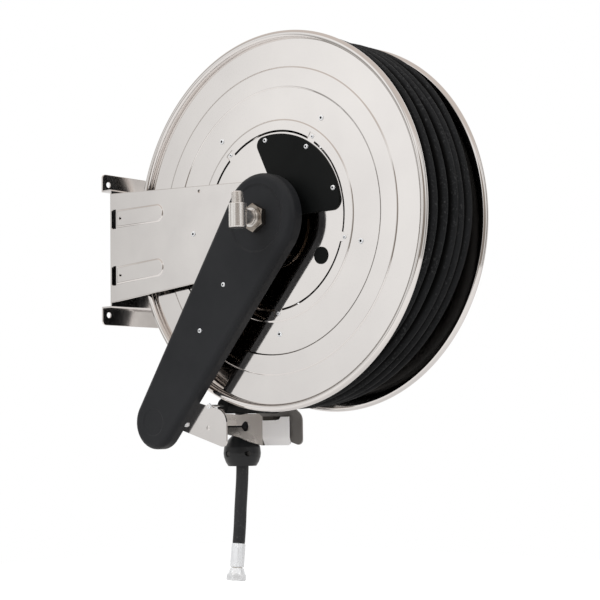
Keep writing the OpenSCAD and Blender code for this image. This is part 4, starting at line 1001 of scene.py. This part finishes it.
# %% Nuts
def hex_rings(flats, chamfer_r, bore, length, sides=96):
    """Rings of a chamfered hexagon nut round its axis, as (x, z, height): bore, face, hexagon,
    back face. The chamfer drops by 0.6 of what its circle cuts off the hexagon, and 0.05 mm."""
    a = np.linspace(0, 2 * np.pi, sides, endpoint=False)
    from_flat = np.mod(a - np.pi / 6, np.pi / 3) - np.pi / 6
    hexagon = flats / 2 / np.cos(from_flat)
    face = np.minimum(hexagon, chamfer_r)
    drop = 0.6 * (hexagon - face) + 0.05
    loops = [
        (bore, 0), (bore, length), (face * 0.98, length), (face, length - 0.03),
        (hexagon, length - drop), (hexagon, 0),
    ]
    return np.stack([np.stack([r * np.cos(a), r * np.sin(a), h + 0 * a], -1) for r, h in loops])


nut = hex_rings(35.5, 17.6, 12.5, 9.0)
for name, seat, way, node_name in (
    ("nut_front", -104.5, -1, "axle_nut_front"), ("nut_rear", 84.0, 1, "axle_nut_rear")
):
    grid = np.stack([nut[..., 0], seat + way * nut[..., 2], nut[..., 1]], -1)
    skin(name, grid, "frame", dull_steel, loop_n=True, stands_for=node_name)

# %% [markdown]
# ## The hose guide
# The web between the guide plates is pressed: a shallow valley runs along its slot, and its lower
# edge flares out, so the hose can't catch on it. Relief like that needs points inside the sheet,
# so its outline and holes are triangulated with a net of points, and each point is lifted by a
# formula. The stop plate is folded off the web and has a lower lip.


# %% Triangles with points inside an outline
def inside(points, loop):
    """Which points lie in a closed loop: those whose ray to the right crosses it an odd number
    of times."""
    a, b = loop[None], np.roll(loop, -1, 0)[None]
    x, y = points[:, None, 0], points[:, None, 1]
    spans = (a[..., 1] > y) != (b[..., 1] > y)
    at = a[..., 0] + (y - a[..., 1]) / (b[..., 1] - a[..., 1] + 1e-12) * (b[..., 0] - a[..., 0])
    return (spans & (at > x)).sum(1) % 2 == 1


def netted(outline, holes, step):
    """Triangles over an outline around its holes, with inner points a step apart: the net's
    points that lie inside the outline, outside the holes and half a step off every edge."""
    low, high = outline.min(0), outline.max(0)
    axes = [np.arange(a + step / 2, b, step) for a, b in zip(low, high)]
    net = np.stack(np.meshgrid(*axes), -1).reshape(-1, 2)
    net = net[inside(net, outline) & ~np.any([inside(net, h) for h in holes], axis=0)]
    rim, edges = np.empty((0, 2)), []
    for loop in [outline, *holes]:
        i = np.arange(len(loop))
        edges += (len(rim) + np.stack([i, (i + 1) % len(loop)], -1)).tolist()
        rim = np.concatenate([rim, loop])
    net = net[np.linalg.norm(net[:, None] - rim[None], axis=-1).min(1) > step / 2]
    corners = [Vector(p) for p in np.concatenate([rim, net]).tolist()]
    found, _, faces, *_ = delaunay_2d_cdt(corners, edges, [], 1, 1e-6)
    points, faces = np.array([tuple(p) for p in found]), np.array(faces)
    middles = points[faces].mean(1)
    return points, faces[~np.any([inside(middles, h) for h in holes], axis=0)]


# %% Sheets with relief
def relief_sheet(points, faces, height, thickness):
    """Front (a, b, height) and back (a, b, height - thickness) of a sheet, with walls along the
    edges that only one triangle has."""
    n = len(points)
    edges = np.concatenate([faces[:, [0, 1]], faces[:, [1, 2]], faces[:, [2, 0]]])
    kinds, counts = np.unique(np.sort(edges, 1), axis=0, return_counts=True)
    rim = kinds[counts == 1]
    walls = np.stack([rim[:, 0], rim[:, 1], rim[:, 1] + n, rim[:, 0] + n], -1)
    both = np.concatenate([np.column_stack([points, h]) for h in (height, height - thickness)])
    return both, [*faces.tolist(), *(faces + n).tolist(), *walls.tolist()]


# %% Closed outlines in short steps
def dense(corners, step):
    """A closed outline with points about a step apart on its edges."""
    p = np.asarray(corners, float)
    q = np.roll(p, -1, 0)
    counts = np.maximum(1, np.ceil(np.linalg.norm(q - p, axis=1) / step)).astype(int)
    return np.concatenate([a + (b - a) * np.arange(k)[:, None] / k for a, b, k in zip(p, q, counts)])


# %% Outline and keyhole of the guide web
# The upper roller turns right over the web between -58 and 58 mm, so the web's edge stays 0.4 mm
# under it there and rises only beyond the roller's end.
UNDER_ROLLER = -270.9
web_outline = dense([
    (-82.5, -264), (-68, -263.5), (-61.5, -264.2), (-59.5, -266), (-58.7, -269), (-58.4, UNDER_ROLLER),
    (-46, -271.2), (-36, -272), (-24, -272.5), (-12, UNDER_ROLLER), (16, UNDER_ROLLER), (22, -275),
    (80, -275), (80, -318), (23, -318), (8, -315.4), (-9, -312), (-20, -308), (-30, -305), (-50, -301),
    (-82.5, -301),
], 2.0)
KEY_Y, KEY_Z, KEY_R = -12.0, -289.5, 7.5
SLOT_FROM, SLOT_TO, SLOT_HALF = -19.4, -60.0, 1.25
keyhole_a = np.degrees(np.arcsin(SLOT_HALF / KEY_R))
slot_box = [(y, KEY_Z + SLOT_HALF) for y in (SLOT_FROM, SLOT_TO)]
slot_box += [(y, KEY_Z - SLOT_HALF) for y in (SLOT_TO, SLOT_FROM)]
keyhole = np.concatenate([
    arc((KEY_Y, KEY_Z), KEY_R, -180 + keyhole_a, 180 - keyhole_a, 32), dense(slot_box, 2.0)[1:40]
])
print("points of the web's outline:", len(web_outline), "and of its keyhole:", len(keyhole))

# %% Guide web
web_points, web_faces = netted(web_outline, [keyhole], 2.0)
wy, wz = web_points.T
# Heights in mm: a valley along the slot, a flare of the lower edge away from the wall, a curl of
# the upper one and a slanting crease. Each fades out before the web's flat right part.
valley = np.exp(-(((wz - KEY_Z) / 6.5) ** 2)) * (1 - step_up(wy, -16, 16))
flare = step_up(-wz, 297, 16) * (1 - step_up(wy, 2, 16))
curl = step_up(wz, -278, 8) * (1 - step_up(wy, -6, 20))
crease = np.exp(-(((wy + 0.8 * wz + 248) / 4) ** 2)) * step_up(-wz, 294, 5) * (1 - step_up(wy, 8, 12))
web_height = -2.6 * valley + 2.2 * flare + 1.2 * curl - 1.1 * crease
WEB_X, GUIDE_SHEET = -108.5, 2.5
web_shell, web_shell_faces = relief_sheet(web_points, web_faces, web_height, GUIDE_SHEET)
web_at = np.column_stack([WEB_X + web_shell[:, 2], web_shell[:, 0], web_shell[:, 1]])
# Beyond y = 22 mm, under the drum and behind the stop plate, deep rises to 1 and the web gets painted shadow.
put("guide_web_pressed", web_at, web_shell_faces, "frame", shade_steel, "guide_web",
    deep=step_up(web_at[:, 1], 22, 3))

# %% Stop plate
# Its face hangs from STOP_TOP, folds back at FOLD_Z and ends in a lip at STOP_END. Beyond RAISE_X,
# away from the web, its top is RAISE_H higher.
STOP_Y, STOP_TOP, FOLD_Z, STOP_END, LIP_Y = 23.0, -281.0, -306.0, -318.0, 28.0
STOP_RIGHT_X, RAISE_X, RAISE_H, FOLD_R, CORNER_R = -57.0, -77.0, 5.0, 6.0, 5.0
along_x = np.array([0, 0.02, 0.5, 0.64, 0.7, 0.76, 0.82, 0.9, 0.95, 0.98, 1.0])[:, None]
drop = np.concatenate([[0, 0.4, 1, 2, 3, 4.5], np.linspace(7, 22, 6)])
bend = np.radians(np.linspace(0, 29, 6))[1:]
face_y, face_z = np.full(len(drop), STOP_Y), STOP_TOP - drop
fold_y, fold_z = STOP_Y + FOLD_R * (1 - np.cos(bend)), FOLD_Z - FOLD_R * np.sin(bend)
lip_t = np.array([0.25, 0.5, 0.7, 0.85, 0.95, 1.0])
end_y, end_z = fold_y[-1] + lip_t * (LIP_Y - fold_y[-1]), fold_z[-1] + lip_t * (STOP_END - fold_z[-1])
front_y, front_z = np.concatenate([face_y, fold_y, end_y]), np.concatenate([face_z, fold_z, end_z])
way_y, way_z = np.gradient(front_y), np.gradient(front_z)
way_length = np.hypot(way_y, way_z)
back_y = front_y - way_z / way_length * GUIDE_SHEET
back_z = front_z + way_y / way_length * GUIDE_SHEET
raised = RAISE_H * step_up(WEB_X + (STOP_RIGHT_X - WEB_X) * along_x, RAISE_X, 5)
front_lift, back_lift = [raised * np.clip(1 - (STOP_TOP - z) / 8, 0, 1) for z in (front_z, back_z)]
to_end = np.minimum(np.clip(STOP_TOP + RAISE_H - front_z, 0, None), front_z - STOP_END)
within = np.clip(CORNER_R - to_end, 0, CORNER_R)
corner = CORNER_R - np.sqrt(np.clip(CORNER_R**2 - within**2, 0, None))
right_end = STOP_RIGHT_X - np.where(front_z > -290, 0.35 * corner, corner)
x_front = WEB_X + along_x * (right_end - WEB_X)
stop_grid = np.concatenate([
    np.stack([x_front, front_y + 0 * along_x, front_z + front_lift], -1),
    np.stack([x_front, back_y + 0 * along_x, back_z + back_lift], -1)[:, ::-1],
], 1)
skin("stop_plate_folded", stop_grid, "frame", brightened_steel, stands_for="guide_stop_plate")

# %% Flush rivet of the front guide plate
turned("plate_rivet", [(0, -0.1), (0.7, -0.1), (0.8, 0.25), (3.0, 0.25), (3.4, 0.1), (3.5, -0.5), (0, -0.5)],
    (-115.7, -85.0, -291.0), FRONT, "frame", sheet_steel, sides=32, closed=False)

# %% [markdown]
# ## Ferrule and nut at the hose's end
# The ferrule was crimped by eight dies, so it is an octagon between two round edges. The nut has
# a round neck that widens to a hexagon. Both are rings along the leaning axis of the hose's end:
# at each height a radius is mixed from a circle and a polygon. Two solids could be joined at that
# place, but with mixed radii each ring has the same count of points and one skin covers them all.


# %% Ferrule and nut
def lobed(radius, sides, share, a):
    """Radius round the axis: a share of a polygon's, radius cos(pi / sides) / cos(angle from the
    middle of its side), and the rest of a circle's."""
    from_side = np.mod(a, 2 * np.pi / sides) - np.pi / sides
    polygon = radius * np.cos(np.pi / sides) / np.cos(from_side)
    return radius + share * (polygon - radius)


def on_hose_end(stations, sides, turn_by, count=96):
    """Rings down the hose's end axis from stations of (depth, radius, share of polygon), with
    the polygon turned by an angle in degrees."""
    a = np.linspace(0, 2 * np.pi, count, endpoint=False)[None]
    depth, radius, share = np.asarray(stations, float).T[:, :, None]
    r = lobed(radius, sides, share, a + np.radians(turn_by))
    side_way = np.array([0.0, np.cos(end_tilt), -np.sin(end_tilt)])
    x, y = (r * np.cos(a))[..., None], (r * np.sin(a))[..., None]
    return tail_end + x * np.array([1.0, 0, 0]) + y * side_way + depth[..., None] * end_way


ferrule_rings = on_hose_end([
    (0, 4.5, 0), (0, 9.4, 0), (0.4, 10.0, 0.3), (1.5, 10.4, 1), (33, 10.4, 1), (34, 9.9, 0.3),
    (34.5, 9.0, 0), (35, 7.6, 0), (35, 4.5, 0),
], 8, 2)
ferrule = skin("ferrule_crimped", ferrule_rings, "frame", zinc, loop_n=True,
    stands_for="hose_ferrule", sharp=28)
HEX_R = 14.3
nut_rings = on_hose_end([
    (35.3, 7.05, 0), (35.3, 7.6, 0), (35.9, 9.6, 0), (36.6, 10.3, 0), (41.5, 11.7, 0), (44, 12.7, 0.3),
    (45.5, HEX_R - 0.3, 0.9), (46.5, HEX_R, 1), (52.6, HEX_R, 1), (53.6, HEX_R - 0.4, 0.85), (54.3, 12.2, 0),
    (54.3, 8.4, 0), (46.9, 8.4, 0), (46.8, 7.05, 0),
], 6, 12)
end_nut = skin("hose_nut_turned", nut_rings, "frame", zinc, loop_n=True, stands_for="hose_nut", sharp=28)

# %% [markdown]
# ## Light and ground
# Soft light comes from a large lamp up on the left and a fainter one on the right, over an even
# world, and a narrow lamp low in front reaches the guide under the drum. Metal shows what it
# reflects, so glossy rays meet a room: pale walls beside the reel, a darker, warm one in front of
# it and a warm ceiling, which draw the lines on the rolled rims, and windows low on the right
# under a dark wall, which faces turned from the wall mirror. A panorama could be that room, but
# bands of colour by direction can be set just where a fold needs them. The floor is white, lies
# below the hose's end and keeps a soft shadow.

# %% World
world = bpy.data.worlds.new("studio")
bpy.context.scene.world = world
world.use_nodes = True
tree = world.node_tree
tree.nodes.clear()
ray_way = node(tree, "TexCoord").outputs["Generated"]


def bands(stops, value, low, high):
    """A colour for a value between low and high, from (value, colour) stops."""
    made = node(tree, "ValToRGB", {0: ramp(tree, value, low, high)})
    elements = made.color_ramp.elements
    while len(elements) < len(stops):
        elements.new(0.5)
    for element, (at, colour) in zip(elements, stops):
        element.position = (at - low) / (high - low)
        element.color = (*colour, 1.0)
    return made.outputs["Color"]


def towards(direction):
    """How far a ray goes one way: 1 along the direction, -1 against it."""
    return measured(tree, "DOT_PRODUCT", ray_way, tuple(np.asarray(direction) / np.linalg.norm(direction)))


# %% Room that metal mirrors
# The room's bands go by how far a ray runs out to the front, those of the wall on the right by a
# slanting direction.
PALE, MID, WARM = (0.95, 0.94, 0.93), (0.55, 0.525, 0.5), (0.30, 0.265, 0.235)
ROOM_BANDS = [
    (-1, PALE), (-0.6, PALE), (-0.45, (0.45, 0.43, 0.41)), (-0.12, (0.40, 0.38, 0.36)),
    (-0.02, (0.62, 0.61, 0.6)), (0.12, (0.9, 0.89, 0.88)), (0.2, PALE), (0.38, PALE), (0.47, MID),
    (0.6, MID), (0.67, PALE), (0.8, PALE), (0.87, WARM), (1, WARM),
]
RIGHT_BANDS = [
    (-0.3, (0.75, 0.72, 0.7)), (-0.12, (0.7, 0.67, 0.65)), (-0.06, (0.27, 0.25, 0.24)),
    (0.04, (0.27, 0.25, 0.24)), (0.12, (0.8, 0.77, 0.74)), (0.24, (0.7, 0.67, 0.65)),
    (0.29, (0.17, 0.165, 0.16)), (0.4, (0.15, 0.145, 0.14)),
]
room = bands(ROOM_BANDS, towards((0.65, -0.755, -0.083)), -1.0, 1.0)
slanting = measured(tree, "DOT_PRODUCT", ray_way, (1.5, -1.5, 1.0))
right_wall = bands(RIGHT_BANDS, slanting, -0.3, 0.4)
on_right = ramp(tree, towards((0.65, 0.76, 0.0)), 0.8, 0.9)
above = ramp(tree, towards((0, 0, 1)), 0.45, 0.7)
glossy_colour = mixed(tree, above, mixed(tree, on_right, room, right_wall), (0.62, 0.56, 0.52))
print("bands of the room:", len(ROOM_BANDS), "and of its right wall:", len(RIGHT_BANDS))

# %% World by kind of ray
path_kind = node(tree, "LightPath").outputs
seen = maths(tree, "ADD", path_kind["Is Glossy Ray"], path_kind["Is Transmission Ray"])
lit = mixed(tree, maths(tree, "MINIMUM", seen, 1.0), (0.62, 0.62, 0.63), glossy_colour)
shown = mixed(tree, path_kind["Is Camera Ray"], lit, (1.0, 1.0, 1.0))
upward = ramp(tree, towards((0, 0, 1)), -0.02, 0.2, 0.8, 1.0)
dimmed = maths(tree, "SUBTRACT", 1.0, maths(tree, "MULTIPLY", seen, maths(tree, "SUBTRACT", 1.0, upward)))
background = node(tree, "Background", {"Color": shown, "Strength": dimmed})
node(tree, "OutputWorld", {"Surface": background.outputs[0]})
print("nodes of the world:", len(tree.nodes))


# %% Lamps
def turned_to(made, place, target):
    """Moves a lamp to a place and turns it to a target; glossy rays don't see it."""
    back = np.asarray(place, float) - target
    back /= np.linalg.norm(back)
    right = np.cross((0, 0, 1), back)
    right /= np.linalg.norm(right)
    columns = (right, np.cross(back, right), back, place)
    made.matrix_world = Matrix([list(row) for row in zip(*columns)] + [[0, 0, 0, 1]])
    made.visible_glossy = False
    print(made.name, "shines with", made.data.energy, "W")


def lamp(name, place, size, power):
    """A square soft lamp at a place, turned to the drum's centre."""
    data = bpy.data.lights.new(name, "AREA")
    data.size = size
    data.energy = power
    turned_to(in_scene(name, data), place, AXLE)


lamp("key", (-0.6, -2.2, 2.0), 1.6, 55)
lamp("fill", (2.6, -0.4, 1.2), 1.4, 22)
snoot = bpy.data.lights.new("snoot", "SPOT")
snoot.energy, snoot.shadow_soft_size = 44, 0.12
snoot.spot_size, snoot.spot_blend = np.radians(14), 0.9
turned_to(in_scene("snoot", snoot), (1.25, -1.15, -0.48), AXLE + np.array([-0.08, 0, -0.3]))

# %% Floor
FLOOR_Z = -0.62
floor_mesh = bpy.data.meshes.new("floor")
floor_mesh.from_pydata([(x, y, FLOOR_Z) for x, y in ((-1.4, -1.7), (2.1, -1.7), (2.1, 1.7), (-1.4, 1.7))],
    [], [(0, 1, 2, 3)])
floor = in_scene("floor", floor_mesh)
print("floor at", FLOOR_Z, "m")

# %% Material of the floor
# The camera sees it white, and mirrors see it warm, and dimmer right under the reel. All other
# rays meet plain matt grey.
pale = bpy.data.materials.new("pale_floor")
pale.use_nodes = True
tree = pale.node_tree
tree.nodes.clear()
rays = node(tree, "LightPath").outputs
white = mixed(tree, rays["Is Camera Ray"], (1.0, 0.955, 0.92), (1.0, 1.0, 1.0))
matt = node(tree, "BsdfDiffuse", {"Color": (0.3, 0.3, 0.3, 1.0)}).outputs[0]
glow = node(tree, "Emission", {"Color": white, "Strength": 0.84}).outputs[0]
both = node(tree, "AddShader", {0: matt, 1: glow}).outputs[0]
spot = node(tree, "NewGeometry").outputs["Position"]
under_reel = (AXLE[0], AXLE[1], FLOOR_Z)
near_far = ramp(tree, measured(tree, "DISTANCE", spot, under_reel), 0.0, 0.75, 0.42, 0.62)
mirrored = maths(tree, "MULTIPLY", rays["Is Glossy Ray"], near_far)
bright = maths(tree, "MINIMUM", maths(tree, "ADD", rays["Is Camera Ray"], mirrored), 1.0)
choice = node(tree, "MixShader", {0: bright, 1: matt, 2: both}).outputs[0]
node(tree, "OutputMaterial", {"Surface": choice})
floor_mesh.materials.append(pale)
print("nodes of the floor:", len(tree.nodes))

# %% View and finish
bpy.context.scene.view_settings.view_transform = "Standard"
